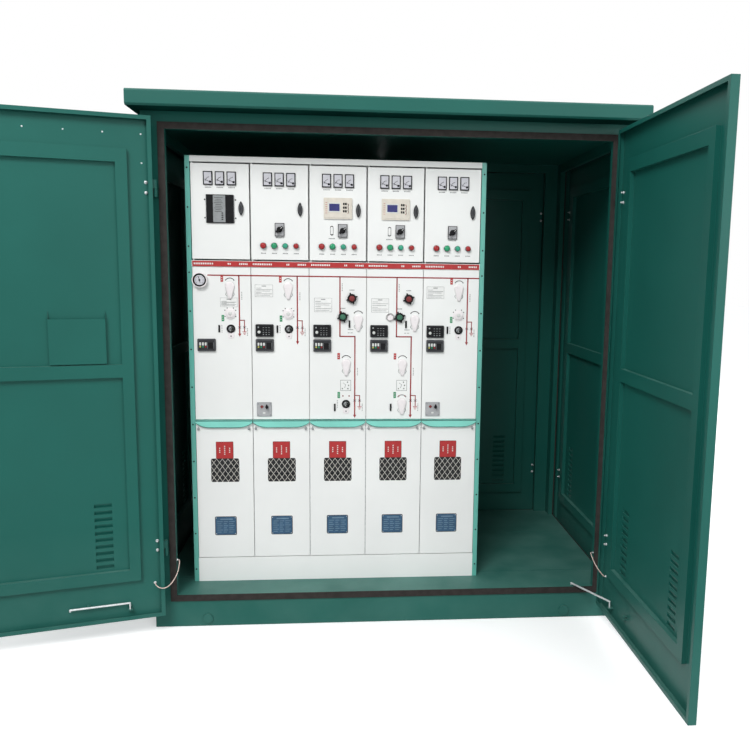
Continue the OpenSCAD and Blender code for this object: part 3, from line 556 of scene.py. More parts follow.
METER_Z = 2216
METER_PITCH = 61
METER_OUT = 8
LAMP_Z = 1870
LAMP_PITCH = 58
LAMP_OUT = 12
LAMPS = ((RED_LENS, 15.5), (GREEN_LENS, 15.5), (TEAL_LENS, 13.5), (RED_LENS, 13.5))
SELECTOR_Z = 1955
SELECTOR_OUT = 8
BREAKER_SELECTOR_X = 180
ROCKER_X = 122
CAPTION_DROP = 42
CAPTION_PITCH = 7
KNOB_OUT = 28
KNOB_TURN = -50
RELAY_Z = 2072
CONTROLLER_Z = 2058
LATCH_X = 264
LATCH_Z = 2062
LATCH_OUT = 12


def caption(shape, bay, x, z, w):
    """Row of plain grey marks where a label is."""
    count = int(w / CAPTION_PITCH)
    for k in range(count):
        at = on_gear(bay, x + (k - (count - 1) / 2) * CAPTION_PITCH, z)
        plate(shape, at, rect(4.6, 5.5), 0, 0.5, GREY_PRINT)


def word_column(shape, bay, x, z):
    """Column of plain grey marks, down from z."""
    for k in range(5):
        plate(shape, on_gear(bay, x, z - 9 * k), rect(4, 5), 0, 0.5, GREY_PRINT)


def meter(shape, bay, x):
    """Face, scale and pointer of a meter, and its caption."""
    plate(shape, on_gear(bay, x, METER_Z, METER_OUT), rect(38, 60, 1.5), -0.5, 0.5, FACE)
    pivot = on_gear(bay, x + 12, METER_Z - 19, METER_OUT)
    arc(shape, pivot, 25, 100, 170, 1.4, BLACK, 0.4, 0.9)
    for k in range(5):
        tick = [polar(r, 102 + 17 * k) for r in (22, 28)]
        line(shape, pivot, tick, 1.0, BLACK, 0.4, 0.9)
    line(shape, pivot, [(0, 0), (-23, 9)], 2.4, BLACK, 0.8, 1.4)
    line(shape, pivot, [(-23, 9), (-29, 13)], 1.4, BLACK, 0.8, 1.4)
    turned(shape, pivot, [(6, 0.2), (6, 2), (4.5, 3)], BLACK, 20)
    caption(shape, bay, x, METER_Z - 47, 40)


def lamp(shape, bay, k):
    """Domed lens in a thin grey ring, k-th from the left, and its caption."""
    lens, r = LAMPS[k]
    x = BAY_W / 2 + (k - (len(LAMPS) - 1) / 2) * LAMP_PITCH
    at = on_gear(bay, x, LAMP_Z, LAMP_OUT)
    turned(shape, at, [(r + 1.2, -0.5), (r + 1.2, 1), (r + 0.4, 1.6)], GREY)
    dome = [(r, 0), (r, 3), (r * 0.93, 5.6), (r * 0.75, 8), (r * 0.45, 9.6), (r * 0.15, 10.2)]
    turned(shape, at, dome, lens)
    caption(shape, bay, x, LAMP_Z - 40, 34)


def selector(shape, bay):
    """Alloy plate and pointer line of the selector knob, and a rocker beside it in the breaker bays."""
    x = BREAKER_SELECTOR_X if bay in BREAKER_BAYS else BAY_W / 2
    plate(shape, on_gear(bay, x, SELECTOR_Z, SELECTOR_OUT), rect(44, 64, 3), -0.5, 0.8, ALLOY, 0.4)
    knob_end = on_gear(bay, x, SELECTOR_Z, KNOB_OUT) @ Matrix.Rotation(math.radians(KNOB_TURN), 4, "Z")
    bar(shape, knob_end, (0, 9), (0, 20), 2.4, -0.3, 0.4, PAPER)
    caption(shape, bay, x, SELECTOR_Z - CAPTION_DROP, 44)
    if bay in BREAKER_BAYS:
        at = on_gear(bay, ROCKER_X, SELECTOR_Z)
        plate(shape, at, rect(17, 50, 7), 0, 2, GRAPHITE, 0.6)
        plate(shape, at, rect(13, 40, 5), 1.5, 6, PAPER, 1)
        caption(shape, bay, ROCKER_X, SELECTOR_Z - CAPTION_DROP, 40)


def relay(shape, bay):
    """Face of a relay: screen, keys, and red arcs and marks."""
    out = METER_OUT
    mid = BAY_W / 2
    plate(shape, on_gear(bay, mid, RELAY_Z, out), rect(140, 98, 4), -0.5, 1.6, BEIGE, 0.8)
    screen = on_gear(bay, mid - 19, RELAY_Z + 5, out)
    plate(shape, screen, rect(66, 50, 2), 1.2, 3, PALE, 0.8)
    plate(shape, screen, rect(55, 38), 2.6, 3.3, LCD)
    for row in range(3):
        for col in range(2):
            at = on_gear(bay, mid + 31 + 11 * col, RELAY_Z + 24 - 19 * row, out)
            plate(shape, at, rect(8.5, 12, 2), 1.2, 4, BLACK, 0.8)
    for dz in (-22, 0, 22):
        arc(shape, on_gear(bay, mid + 45, RELAY_Z + dz * 0.8, out), 11, -50, 50, 2.6, RED_PRINT, 1.4, 2)
    for k in range(6):
        bar(shape, on_gear(bay, mid - 62, RELAY_Z + 30 - 11 * k, out), (-5, 0), (5, 0), 2, 1.4, 2, RED_PRINT)


def controller(shape, bay):
    """Face of the controller: rows of marks and keys, edge strips and screws."""
    out = METER_OUT
    mid = BAY_W / 2
    plate(shape, on_gear(bay, mid - 4, CONTROLLER_Z, out), rect(64, 140, 2), -0.5, 2.5, GREY, 0.8)
    for k in range(9):
        width = (46, 30, 38)[k % 3]
        at = on_gear(bay, mid - 8, CONTROLLER_Z + 58 - 9 * k, out)
        bar(shape, at, (-width / 2, 0), (width / 2, 0), 2, 2.3, 2.8, GRAPHITE)
    for k in range(4):
        at = on_gear(bay, mid + 12, CONTROLLER_Z - 22 - 11 * k, out)
        plate(shape, at, rect(9, 6, 1.5), 2.2, 4, GRAPHITE, 0.6)
    for side in (-1, 1):
        plate(shape, on_gear(bay, mid + side * 72, CONTROLLER_Z, out), rect(1.5, 144), -0.5, 0.8, GREY)
        for dz in (-47, 48):
            at = on_gear(bay, mid + side * 80, CONTROLLER_Z + dz)
            turned(shape, at, [(4, 0), (4, 1.8), (3, 2.8)], GRAPHITE, 16)


def latch(shape, bay):
    """Raised bow on the dark pointed latch."""
    at = on_gear(bay, LATCH_X, LATCH_Z, LATCH_OUT)
    plate(shape, at, bow(17, 56), -0.5, 1.4, SLATE, 0.8)
    plate(shape, at, bow(9, 40), 1.2, 2.6, GRAPHITE, 0.6)


def dress_instrument_doors():
    for bay in range(BAYS):
        shape = Shape()
        for k in (-1, 0, 1):
            meter(shape, bay, BAY_W / 2 + k * METER_PITCH)
        if bay > FIRST_BAY:
            for k in range(len(LAMPS)):
                lamp(shape, bay, k)
            selector(shape, bay)
        else:
            controller(shape, bay)
        if bay in BREAKER_BAYS:
            relay(shape, bay)
        latch(shape, bay)
        shape.piece(f"bay_{bay + 1}_instrument_faces", f"bay_{bay + 1}_lv_leaf")


# Mechanism panels: places in a bay, in millimetres

BUS_X, BUS_Z = 84, 1710
BAND_Z = 1771
LINE_W = 7
KEY_HEAD = {"switch": (198, 1652), "breaker": (266, 1482), "lower": (201, 1237), "earth": (200, 1018)}
KEY_OUT = 6
TRAVEL_RISE = 17
TRAVEL_R = 27
HUB_X, HUB_Z = 198, 1507
HUB_MARKS_R = 33
DIAL_X = 200
SWITCH_DIAL_Z = 1424
BREAKER_DIAL_Z = 1011
BOX_X = 70
BOX_OUT = 12
LIVE_Z = 1336
FAULT_Z = 1416
DIAGRAM_X, DIAGRAM_Z = 198, 1115
KNOBS = ((231, 1594, DULL_RED), (182, 1494, DULL_GREEN))
CAP_X, CAP_Z = 130, 1494
LOCK_X, LOCK_Z = 63, 982
LOCK_OUT = 5
BARREL_OUT = 19
GAUGE_X, GAUGE_Z = 42, 1684
GAUGE_OUT = 19

# Rows of marks on the red band: x of the first one, and how many
BAND_WORDS = ((14, 11), (192, 2), (252, 5))

# Short lines of print in a breaker bay: x, z and width
BREAKER_PRINT = ((224, 1424, 30), (230, 1406, 12), (214, 1406, 10))

# Blank form sheets: x, z, width and height
FIRST_STICKER = (191, 1566, 93, 52)
SWITCH_STICKER = (68, 1630, 98, 68)
BREAKER_STICKER = (75, 1557, 98, 78)

# One-line diagrams: main line, branch to earth, crosses on the lines and columns of marks, and each bay's own
SWITCH_MIMIC = {
    "main": [(246, BUS_Z), (246, 1356)],
    "earth": [(246, 1470), (272, 1470), (272, 1412)],
    "crosses": [(246, 1432), (272, 1432)],
    "words": [(260, 1620), (287, 1425)],
}
FIRST_MIMIC = {**SWITCH_MIMIC, "main": [(246, BUS_Z), (246, 1396)]}
BREAKER_MIMIC = {
    "main": [(166, BUS_Z), (166, 1386), (248, 1386), (248, 948)],
    "earth": [(248, 1058), (275, 1058), (275, 1000)],
    "crosses": [(248, 1030), (275, 1030)],
    "words": [(178, 1672), (262, 1210), (290, 1010)],
}
MIMICS = (FIRST_MIMIC, SWITCH_MIMIC, BREAKER_MIMIC, BREAKER_MIMIC, SWITCH_MIMIC)


def earth_mark(shape, bay, x, z):
    """Earth symbol: three red bars, each shorter than the one above."""
    for k, half in enumerate((10, 6.5, 3)):
        line(shape, on_gear(bay, x, z - 7 * k), [(-half, 0), (half, 0)], 3, RED_PRINT)


def mimic(shape, bay):
    """Red one-line diagram of a bay, printed on its panel, with an arrow at its lower end."""
    plan = MIMICS[bay]
    at = on_gear(bay, 0, 0)
    line(shape, at, plan["main"], LINE_W, MIMIC_RED)
    line(shape, at, plan["earth"], LINE_W * 0.7, MIMIC_RED)
    x, z = plan["earth"][-1]
    earth_mark(shape, bay, x, z - 4)
    x, z = plan["main"][-1]
    plate(shape, on_gear(bay, x, z - 6), [(-9, 8), (0, -10), (9, 8)], 0, 0.6, MIMIC_RED)
    for x, z in plan["crosses"]:
        for rise in (-5, 5):
            line(shape, on_gear(bay, x, z), [(-7, rise), (7, -rise)], 2, BLACK, 0.4, 0.9)
    for x, z in plan["words"]:
        word_column(shape, bay, x, z)


def label_tag(shape, bay, x, z, colour):
    """Coloured tag with two plain pale marks."""
    plate(shape, on_gear(bay, x, z), rect(14, 34, 1), 0, 0.7, colour)
    for dz in (-6, 6):
        plate(shape, on_gear(bay, x, z + dz), rect(6, 3.5), 0.6, 0.9, PALE)


def key_marks(shape, bay, name, tag):
    """Arc of travel over an operating cover, the cover's domed front and its coloured tag."""
    x, z = KEY_HEAD[name]
    arc(shape, on_gear(bay, x, z + TRAVEL_RISE), TRAVEL_R, 40, 140, 3.6, BLACK)
    for degrees in (36, 144):
        u, v = polar(TRAVEL_R, degrees)
        plate(shape, on_gear(bay, x + u, z + TRAVEL_RISE + v), rect(5, 5), 0, 0.6, BLACK)
    dome = [(0, 1), (7, 1), (8.6, 0.95), (9.8, 0.85), (10.7, 0.66), (11, 0.4)]
    stack(shape, on_gear(bay, x, z), teardrop(50, 19, 58.5), dome, COVER, smooth=True)
    for side in (-1, 1):
        ear = on_gear(bay, x + side * 20, z - 44)
        line(shape, ear, [(0, 10), (side * 3, 0), (-side * 4, -10)], 2.4, GREY_PRINT)
    if tag:
        label_tag(shape, bay, x - 42, z + 40, tag)


def hub_marks(shape, bay):
    """Earthing hub of a switch bay: a raised ring, black marks round it and its green tag."""
    at = on_gear(bay, HUB_X, HUB_Z, KEY_OUT)
    turned(shape, at, [(24, -0.5), (24, 1.5), (22, 3), (14, 3.4)], COVER)
    turned(shape, at, [(10, 3), (10, 5), (8, 6)], PALE)
    for degrees in (30, 60, 120, 150, 210, 330):
        u, v = polar(HUB_MARKS_R, degrees)
        plate(shape, on_gear(bay, HUB_X + u, HUB_Z + v), rect(5, 5), 0, 0.6, BLACK)
    label_tag(shape, bay, HUB_X - 40, HUB_Z - 26, GREEN_PRINT)


def dial_faces(shape, bay, z):
    """Grey disc with a pale crescent in the round indicator, with a keyhole plate under it."""
    at = on_gear(bay, DIAL_X, z, 2)
    turned(shape, at, [(13.5, 0), (13.5, 1), (12.5, 1.4)], GREY)
    arc(shape, at, 8.5, -80, 80, 7, PAPER, 1.2, 1.9)
    bar(shape, at, (-8, -8), (4, 9), 3.4, 1.6, 2.4, SLATE)
    plate(shape, on_gear(bay, DIAL_X, z - 36), rect(34, 36, 14), 0, 3, COVER, 0.8)
    turned(shape, on_gear(bay, DIAL_X, z - 40, 3), [(4, -0.5), (4, 0.8), (3, 1.2)], GREY_PRINT, 20)
    word_column(shape, bay, DIAL_X - 48, z + 18)


def sticker(shape, bay, x, z, w, h):
    """Blank form sheet: a pale sheet with a thin grey frame and rules."""
    plate(shape, on_gear(bay, x, z), rect(w, h), 0, 0.4, PAPER)
    frame_line = rect(w - 4, h - 4)
    line(shape, on_gear(bay, x, z), frame_line + frame_line[:1], 1.2, GREY_PRINT, 0.3, 0.7)
    bar(shape, on_gear(bay, x, z + h / 2 - 9), (-12, 0), (12, 0), 4, 0.3, 0.7, GREY_PRINT)
    rows = 6
    for k in range(rows):
        width = (w - 14) * (0.35, 1, 0.9)[k % 3]
        start = -w / 2 + 7
        at = on_gear(bay, x, z + h / 2 - 20 - k * (h - 30) / (rows - 1))
        bar(shape, at, (start, 0), (start + width, 0), 2, 0.3, 0.7, GREY_PRINT)


def live_box(shape, bay):
    """Front of a live display box: three lenses under pale windows, and a black socket cover."""
    at = on_gear(bay, BOX_X, LIVE_Z, BOX_OUT)
    plate(shape, at, rect(90, 61, 3), -0.5, 0.6, SLATE, 0.3)
    plate(shape, at, rect(84, 55, 3), 0.2, 1.0, GRAPHITE, 0.3)
    for k, lens in enumerate((YELLOW_LENS, GREEN_LENS, RED_LENS)):
        x = BOX_X - 33 + 14.5 * k
        plate(shape, on_gear(bay, x, LIVE_Z + 6, BOX_OUT), rect(9.5, 17, 3), 0.8, 2.2, PALE, 0.4)
        plate(shape, on_gear(bay, x, LIVE_Z - 9, BOX_OUT), rect(8.5, 9, 3.5), 0.8, 3.4, lens, 0.8)
    socket = on_gear(bay, BOX_X + 22, LIVE_Z - 3, BOX_OUT)
    plate(shape, socket, rect(28, 34, 2), 0.8, 2.0, BLACK, 0.4)
    for dx in (-16, 16):
        bar(shape, socket, (dx, -17), (dx, 17), 1.2, 0.8, 1.4, GREY)


def fault_box(shape, bay):
    """Front of a fault display box: a pale button, rows of grey marks and three small studs."""
    at = on_gear(bay, BOX_X, FAULT_Z, BOX_OUT)
    plate(shape, at, rect(90, 61, 3), -0.5, 0.6, GRAPHITE, 0.3)
    plate(shape, at, rect(85, 56, 3), 0.2, 1.0, BLACK, 0.3)
    button = on_gear(bay, BOX_X - 29, FAULT_Z - 8, BOX_OUT)
    turned(shape, button, [(8, 0.8), (8, 3), (6.8, 4.2), (2.5, 4.8)], PALE, 28)
    plate(shape, on_gear(bay, BOX_X - 33, FAULT_Z + 18, BOX_OUT), rect(8, 8, 2), 0.8, 1.4, GREY, 0.3)
    columns = [BOX_X - 6 + 15 * k for k in range(3)]
    for row in range(3):
        for x in columns:
            mark = on_gear(bay, x, FAULT_Z + 16 - 13 * row, BOX_OUT)
            plate(shape, mark, rect(8 - 2 * (row % 2), 2.4), 0.8, 1.3, GREY)
    for x in columns:
        turned(shape, on_gear(bay, x, FAULT_Z - 21, BOX_OUT), [(3, 0.8), (3, 2), (2, 2.6)], GREY, 16)


def breaker_panel(shape, bay):
    """Printed diagram, tags, the knobs of the breaker buttons and the form sheet of a breaker bay."""
    at = on_gear(bay, DIAGRAM_X, DIAGRAM_Z)
    outline = rect(56, 58)
    line(shape, at, outline + outline[:1], 2, GREY_PRINT)
    line(shape, at, [(-14, 14), (0, 4), (-6, -14)], 2, GREY_PRINT)
    for dx, dz in ((10, 18), (16, 0), (12, -18), (-18, -18)):
        plate(shape, on_gear(bay, DIAGRAM_X + dx, DIAGRAM_Z + dz), circle(8, 16), 0, 0.5, GREY_PRINT)
    x, z = KEY_HEAD["earth"]
    for dx in (-17, 17):
        plate(shape, on_gear(bay, x + dx, z + 38), rect(7, 7), 0, 0.6, DULL_RED)
    label_tag(shape, bay, x - 40, z + 43, GREEN_PRINT)
    for x, z, look in KNOBS:
        for degrees in (20, 110, 200, 290):
            spoke = on_gear(bay, x, z, 8) @ Matrix.Rotation(math.radians(degrees), 4, "Z")
            bar(shape, spoke, (22, 0), (32, 0), 7, -3, 5, BLACK)
        turned(shape, on_gear(bay, x, z, 26), [(12, -0.5), (12, 1), (10, 2)], look, 24)
        caption(shape, bay, x, z + 45, 28)
    for x, z, w in BREAKER_PRINT:
        plate(shape, on_gear(bay, x, z), rect(w, 3), 0, 0.5, GREY_PRINT)
    sticker(shape, bay, *BREAKER_STICKER)


def hanging_cap(shape, bay):
    """Pale guard of the closing knob, hung beside it."""
    at = on_gear(bay, CAP_X, CAP_Z)
    arc(shape, at, 20, 0, 360, 3, PALE, 0, 10, 32)
    turned(shape, at, [(19, 0), (19, 1), (18, 1.4)], COVER, 32)


def interlock(shape, bay):
    """Red diamond stud and a black key in its barrel, on a steel plate."""
    plate(shape, on_gear(bay, LOCK_X, LOCK_Z, LOCK_OUT), rect(76, 74, 3), -0.5, 0.6, ALLOY, 0.3)
    stud = on_gear(bay, LOCK_X - 13, LOCK_Z + 15, LOCK_OUT) @ Matrix.Rotation(math.radians(45), 4, "Z")
    plate(shape, stud, rect(14, 14, 2), 0.4, 5, DULL_RED, 1)
    barrel = on_gear(bay, LOCK_X + 15, LOCK_Z + 15, BARREL_OUT)
    turned(shape, barrel, [(8, -0.3), (8, 0.8), (7, 1.2)], BLACK, 24)
    plate(shape, on_gear(bay, LOCK_X + 15, LOCK_Z + 18, BARREL_OUT), rect(7, 24, 3), 0.5, 12, BLACK, 1)
    plate(shape, on_gear(bay, LOCK_X - 1, LOCK_Z - 20, LOCK_OUT), rect(14, 9, 2), 0.4, 2, PALE, 0.5)
    for dz in (31, -31):
        for dx in (-32, 32):
            screw = on_gear(bay, LOCK_X + dx, LOCK_Z + dz, LOCK_OUT)
            turned(shape, screw, [(3.5, 0.4), (3.5, 1.6), (2.5, 2.4)], GREY, 16)


def gauge(shape):
    """Dial in a black ring that bears a red and a green arc, with ticks and a pointer."""
    at = on_gear(FIRST_BAY, GAUGE_X, GAUGE_Z, GAUGE_OUT)
    turned(shape, at, [(35, -0.5), (35, 0.6), (34.5, 0.8)], FACE, 48)
    arc(shape, at, 31, 0, 360, 8, BLACK, 0.6, 2.2, 48)
    arc(shape, at, 28.5, 150, 215, 4.5, RED_PRINT, 2, 2.6)
    arc(shape, at, 28.5, 60, 140, 2.5, GREEN_PRINT, 2, 2.6, 24)
    for k in range(11):
        tick = [polar(r, 220 - 26 * k) for r in (18, 22)]
        line(shape, at, tick, 1.3, BLACK, 0.6, 1.1)
    line(shape, at, [(3, -13), (-5, 18)], 3, BLACK, 1.2, 1.8)
    turned(shape, at, [(5, 0.6), (5, 2.6), (3.5, 3.2)], BLACK, 24)


def dress_mechanism_panels():
    shape = Shape()
    all_bays = BAYS * BAY_W
    plate(shape, on_gear(FIRST_BAY, all_bays / 2, BAND_Z), rect(all_bays - 6, 29), 0, 0.6, RED_PRINT)
    line(shape, on_gear(FIRST_BAY, 0, BUS_Z), [(BUS_X, 0), (all_bays - 4, 0)], LINE_W, MIMIC_RED)
    for bay in range(BAYS):
        for first, count in BAND_WORDS:
            for k in range(count):
                plate(shape, on_gear(bay, first + 9.5 * k, BAND_Z), rect(6, 9), 0.5, 0.9, PAPER)
        mimic(shape, bay)
        live_box(shape, bay)
        if bay in FAULT_BAYS:
            fault_box(shape, bay)
        if bay in LOCK_BAYS:
            interlock(shape, bay)
        if bay in BREAKER_BAYS:
            key_marks(shape, bay, "breaker", None)
            key_marks(shape, bay, "lower", RED_PRINT)
            if bay == COVERED_BAY:
                key_marks(shape, bay, "earth", None)
            else:
                dial_faces(shape, bay, BREAKER_DIAL_Z)
            breaker_panel(shape, bay)
        else:
            key_marks(shape, bay, "switch", RED_PRINT)
            hub_marks(shape, bay)
            dial_faces(shape, bay, SWITCH_DIAL_Z)
            sticker(shape, bay, *(SWITCH_STICKER if bay > FIRST_BAY else FIRST_STICKER))
    gauge(shape)
    hanging_cap(shape, CAP_BAY)
    shape.piece("mechanism_panel_fittings", "kiosk")


# Cable covers and trims: places in a bay, in millimetres

SIGN_X, SIGN_Z = 154, 753
PLATE_X, PLATE_Z = 153, 321
PLATE_OUT = 1.6
SCREW_Z = 874
SCREWS_X = (16, 289)
WING_SCREW = [(4, 0), (4, 4), (6.5, 5), (6.5, 11), (5.5, 12)]
END_SCREW_X = 14
END_SCREWS_Z = [71 + 206.6 * k for k in range(9)] + [1861 + 203.5 * k for k in range(3)]

# Canopies, read from the frame: the lower edge sweeps up to both ends
canopy_low, canopy_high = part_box("canopy_strips")
CANOPY_Z = (canopy_low[2] - FLOOR_Z) / MM
CANOPY_H = (canopy_high[2] - canopy_low[2]) / MM
CANOPY_OUT = (FRONT_Y - canopy_low[1]) / MM
CANOPY_RUN = 75
CANOPY_LIFT = 26
SEAM = 4
CANOPY_HALF = (BAY_W - SEAM) / 2


def canopy_edge(up, steps=8):
    """Lower edge of a canopy from left to right, moved up."""
    bend = (CANOPY_RUN ** 2 + CANOPY_LIFT ** 2) / (2 * CANOPY_LIFT)
    runs = [CANOPY_RUN * k / steps for k in range(steps + 1)]
    right = [(CANOPY_HALF - CANOPY_RUN + u, up + bend - math.sqrt(bend ** 2 - u ** 2)) for u in runs]
    return [(-x, z) for x, z in right[::-1]] + right


def dress_canopies():
    """White filler between the cable covers and the canopies, painted shade along the canopies' lower edges
    and a painted shadow line along their tops.
    """
    shape = Shape()
    foot = [(side * CANOPY_HALF, 0.5 - 2 * SEAM) for side in (-1, 1)]
    for bay in range(BAYS):
        plate(shape, on_gear(bay, BAY_W / 2, CANOPY_Z), foot + canopy_edge(-0.5)[::-1], -3, 0, WHITE)
        front = on_gear(bay, BAY_W / 2, CANOPY_Z, CANOPY_OUT)
        # Painted shade: a dark band along the canopy's lower edge, where the sheet's thickness lies in shade
        plate(shape, front, canopy_edge(0.3) + canopy_edge(3.3)[::-1], -0.3, 0.5, PAINTED_SHADE_TEAL)
        # Painted shadow: a dark line along the canopy's top, under the mechanism panel
        top = on_gear(bay, BAY_W / 2, CANOPY_Z + CANOPY_H - 2.5, CANOPY_OUT)
        plate(shape, top, rect(2 * CANOPY_HALF, 4.6), -0.3, 0.5, PAINTED_SHADE_TEAL)
    shape.piece("canopy_painted_shade", "kiosk")


def red_sign(shape, bay):
    """Red sign with three columns of pale dots."""
    at = on_gear(bay, SIGN_X, SIGN_Z)
    plate(shape, at, rect(95, 96, 3), 0, 1.2, DULL_RED, 0.3)
    plate(shape, at, rect(89, 90, 2), 1, 1.6, RED_PRINT, 0.2)
    for dx, count in ((-27, 3), (0, 5), (27, 3)):
        for k in range(count):
            dot = on_gear(bay, SIGN_X + dx, SIGN_Z + 11 * (k - (count - 1) / 2))
            plate(shape, dot, rect(6, 6), 1.4, 1.9, PALE)


def blue_plate(shape, bay):
    """Blue plate with plain bars and a rivet near each corner."""
    at = on_gear(bay, PLATE_X, PLATE_Z)
    plate(shape, at, rect(119, 108, 7), 0, 1.2, GRAPHITE, 0.3)
    plate(shape, at, rect(113, 102, 6), 1, PLATE_OUT, BLUE, 0.2)
    heading = on_gear(bay, PLATE_X, PLATE_Z + 38, PLATE_OUT)
    bar(shape, heading, (-30, 0), (38, 0), 6, -0.2, 0.3, BLUE_LINES)
    for k in range(6):
        row = on_gear(bay, PLATE_X, PLATE_Z + 24 - 12 * k, PLATE_OUT)
        for first, last in ((-48, -18), (-12, 12), (18, 48)):
            bar(shape, row, (first, 0), (last - 7 * (k % 2), 0), 3, -0.2, 0.3, BLUE_LINES)
    for dx in (-52, 52):
        for dz in (-46, 46):
            rivet = on_gear(bay, PLATE_X + dx, PLATE_Z + dz, PLATE_OUT)
            turned(shape, rivet, [(2.6, -0.2), (2.6, 0.9), (1.6, 1.6)], ZINC, 16)


def dress_cable_covers():
    """Signs, plates and wing screws of the cable covers."""
    shape = Shape()
    for bay in range(BAYS):
        red_sign(shape, bay)
        blue_plate(shape, bay)
        for x in SCREWS_X:
            turned(shape, on_gear(bay, x, SCREW_Z), WING_SCREW, GREY, 20)
            bar(shape, on_gear(bay, x, SCREW_Z, 6), (0, 2), (0, 12), 5, 0, 4, GREY)
    shape.piece("cable_cover_plates", "kiosk")


def dress_end_covers():
    shape = Shape()
    for x in (-END_SCREW_X, BAYS * BAY_W + END_SCREW_X):
        for z in END_SCREWS_Z:
            turned(shape, on_gear(FIRST_BAY, x, z), [(4.5, -0.5), (4.5, 0.6), (3.6, 1), (3, 0.2)], BLACK, 20)
    shape.piece("end_cover_screws", "kiosk")


# Kiosk fittings: on the leaves, x from the hinge axis and z over the ground, in millimetres

HINGE_BOLTS_Z = (482, 2314)
HINGE_BOLT_X = 43
HINGE_BOLT_PITCH = 50
HINGE_BOLT_D = 13
LEAD_DOORS = ("front_left", "front_right")
LEAD_X = 60
LEAD_Z = 280
LEAD_BOLT_D = 12
RIVET_DOOR = "front_left"
RIVET_PITCH = 174


def dome_bolt(shape, plane, d, material):
    """Washer, hexagon and round end of a bolt."""
    turned(shape, plane, [(d * 0.62, -0.3), (d * 0.62, 1.4), (d * 0.58, 1.8)], material, 24)
    plate(shape, plane, circle(d, 6), 1, d * 0.42, material, 1)
    turned(shape, plane, [(d * 0.3, d * 0.3), (d * 0.3, d * 0.6), (d * 0.2, d * 0.7)], material, 20)


def dress_doors():
    """Hinge bolts on every leaf, the lead's bolt on the front ones, and rivets on the front left one."""
    for door in DOORS:
        shape = Shape()
        leaf_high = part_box(f"{door}_door")[1][2] / MM
        for mid in HINGE_BOLTS_Z:
            for side in (-1, 1):
                at = on_leaf(door, HINGE_BOLT_X, SKIN, mid + side * HINGE_BOLT_PITCH / 2)
                dome_bolt(shape, at, HINGE_BOLT_D, BRIGHT)
                turned(shape, at, [(4, 8), (4, 14), (3, 15.5)], BRIGHT, 20)
        if door in LEAD_DOORS:
            dome_bolt(shape, on_leaf(door, LEAD_X, SKIN, LEAD_Z), LEAD_BOLT_D, BRIGHT)
        if door == RIVET_DOOR:
            rivets = [(LEAD_X, 223)] + [(LEAD_X + RIVET_PITCH * k, 86) for k in range(7)]
            for x, drop in rivets:
                at = on_leaf(door, x, SKIN, leaf_high - drop)
                turned(shape, at, [(4, -0.3), (4, 0.8), (2.8, 1.7)], BRIGHT, 16)
        shape.piece(f"{door}_door_bolts", f"{door}_leaf")


# Bonding leads: their thickness, and the routes of the frame's own leads from post to door

LEAD_D = 5
LEFT_ROUTE = [
    (-1144, -688, 371), (-1136, -688, 371), (-1131, -691, 370), (-1128, -698, 367), (-1127, -709, 361),
    (-1126, -722, 352), (-1126, -735, 342), (-1127, -748, 332), (-1130, -760, 321), (-1135, -771, 309),
    (-1142, -781, 297), (-1150, -789, 286), (-1160, -796, 276), (-1172, -801, 268), (-1185, -803, 263),
    (-1198, -803, 262), (-1211, -801, 264), (-1222, -796, 268), (-1231, -789, 273), (-1236.5, -782, 277.5),
    (-1239.4, -775.2, 280), (-1241.2, -768.5, 280),
]
RIGHT_ROUTE = [
    (1144, -688, 371), (1136, -688, 371), (1131, -691, 371), (1128, -698, 370), (1127, -708, 366),
    (1127, -719, 360), (1128, -731, 353), (1129, -743, 346), (1131, -755, 338), (1134, -767, 330),
    (1138, -778, 322), (1143, -789, 313), (1150, -798, 303), (1158, -805, 293), (1166, -809, 284),
    (1173, -810, 280), (1181, -810, 280),
]


def smooth_route(route, steps=4):
    """The route's points with more between them, on one smooth curve."""
    p = [Vector(q) * MM for q in route]
    p = [p[0] * 2 - p[1]] + p + [p[-1] * 2 - p[-2]]
    fine = []
    for a, b, c, d in zip(p, p[1:], p[2:], p[3:]):
        for s in range(steps):
            t = s / steps
            bend = 2 * a - 5 * b + 4 * c - d
            twist = 3 * b - a - 3 * c + d
            fine.append(0.5 * (2 * b + (c - a) * t + bend * t**2 + twist * t**3))
    return fine + [p[-2]]


def bonding_lead(name, route):
    path = smooth_route(route)
    shape = Shape()
    sides = 12
    points = []
    for k, centre in enumerate(path):
        ahead = (path[min(k + 1, len(path) - 1)] - path[max(k - 1, 0)]).normalized()
        u = ahead.cross(Vector((0, 0, 1))).normalized()
        v = u.cross(ahead)
        for s in range(sides):
            a = 2 * math.pi * s / sides
            points.append(centre + (u * math.cos(a) + v * math.sin(a)) * (LEAD_D / 2 * MM))
    faces = [list(range(sides)), [len(points) - 1 - s for s in range(sides)]]
    for k in range(len(path) - 1):
        for s in range(sides):
            a, b = k * sides + s, k * sides + (s + 1) % sides
            faces.append([a, a + sides, b + sides, b])
    shape.add(Matrix.Identity(4), points, faces, LEAD, smooth=True)
    obj = shape.piece(name + "_sheath", None)
    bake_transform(obj)
    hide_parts(name)


def dress_leads():
    bonding_lead("left_bonding_lead", LEFT_ROUTE)
    bonding_lead("right_bonding_lead", RIGHT_ROUTE)
    shape = Shape()
    for route in (LEFT_ROUTE, RIGHT_ROUTE):
        x, y, z = route[0]
        inward = -1 if x > 0 else 1
        origin = Vector((x, y, z)) * MM
        at = plane_at(origin, (0, -inward, 0), (0, 0, 1), (inward, 0, 0))
        dome_bolt(shape, at, LEAD_BOLT_D, ZINC)
    shape.piece("post_lead_bolts", "kiosk")


# Stage, light and camera, in metres

FLOOR_SIDE = 80
FLOOR_GAP = 0.002


def seen_rays(tree, links):
    """One for the rays that show a surface to the camera, in mirrors or through glass."""
    rays = tree.new("ShaderNodeLightPath").outputs
    direct = combined(tree, links, "MAXIMUM", rays["Is Camera Ray"], rays["Is Glossy Ray"])
    return combined(tree, links, "MAXIMUM", direct, rays["Is Transmission Ray"])


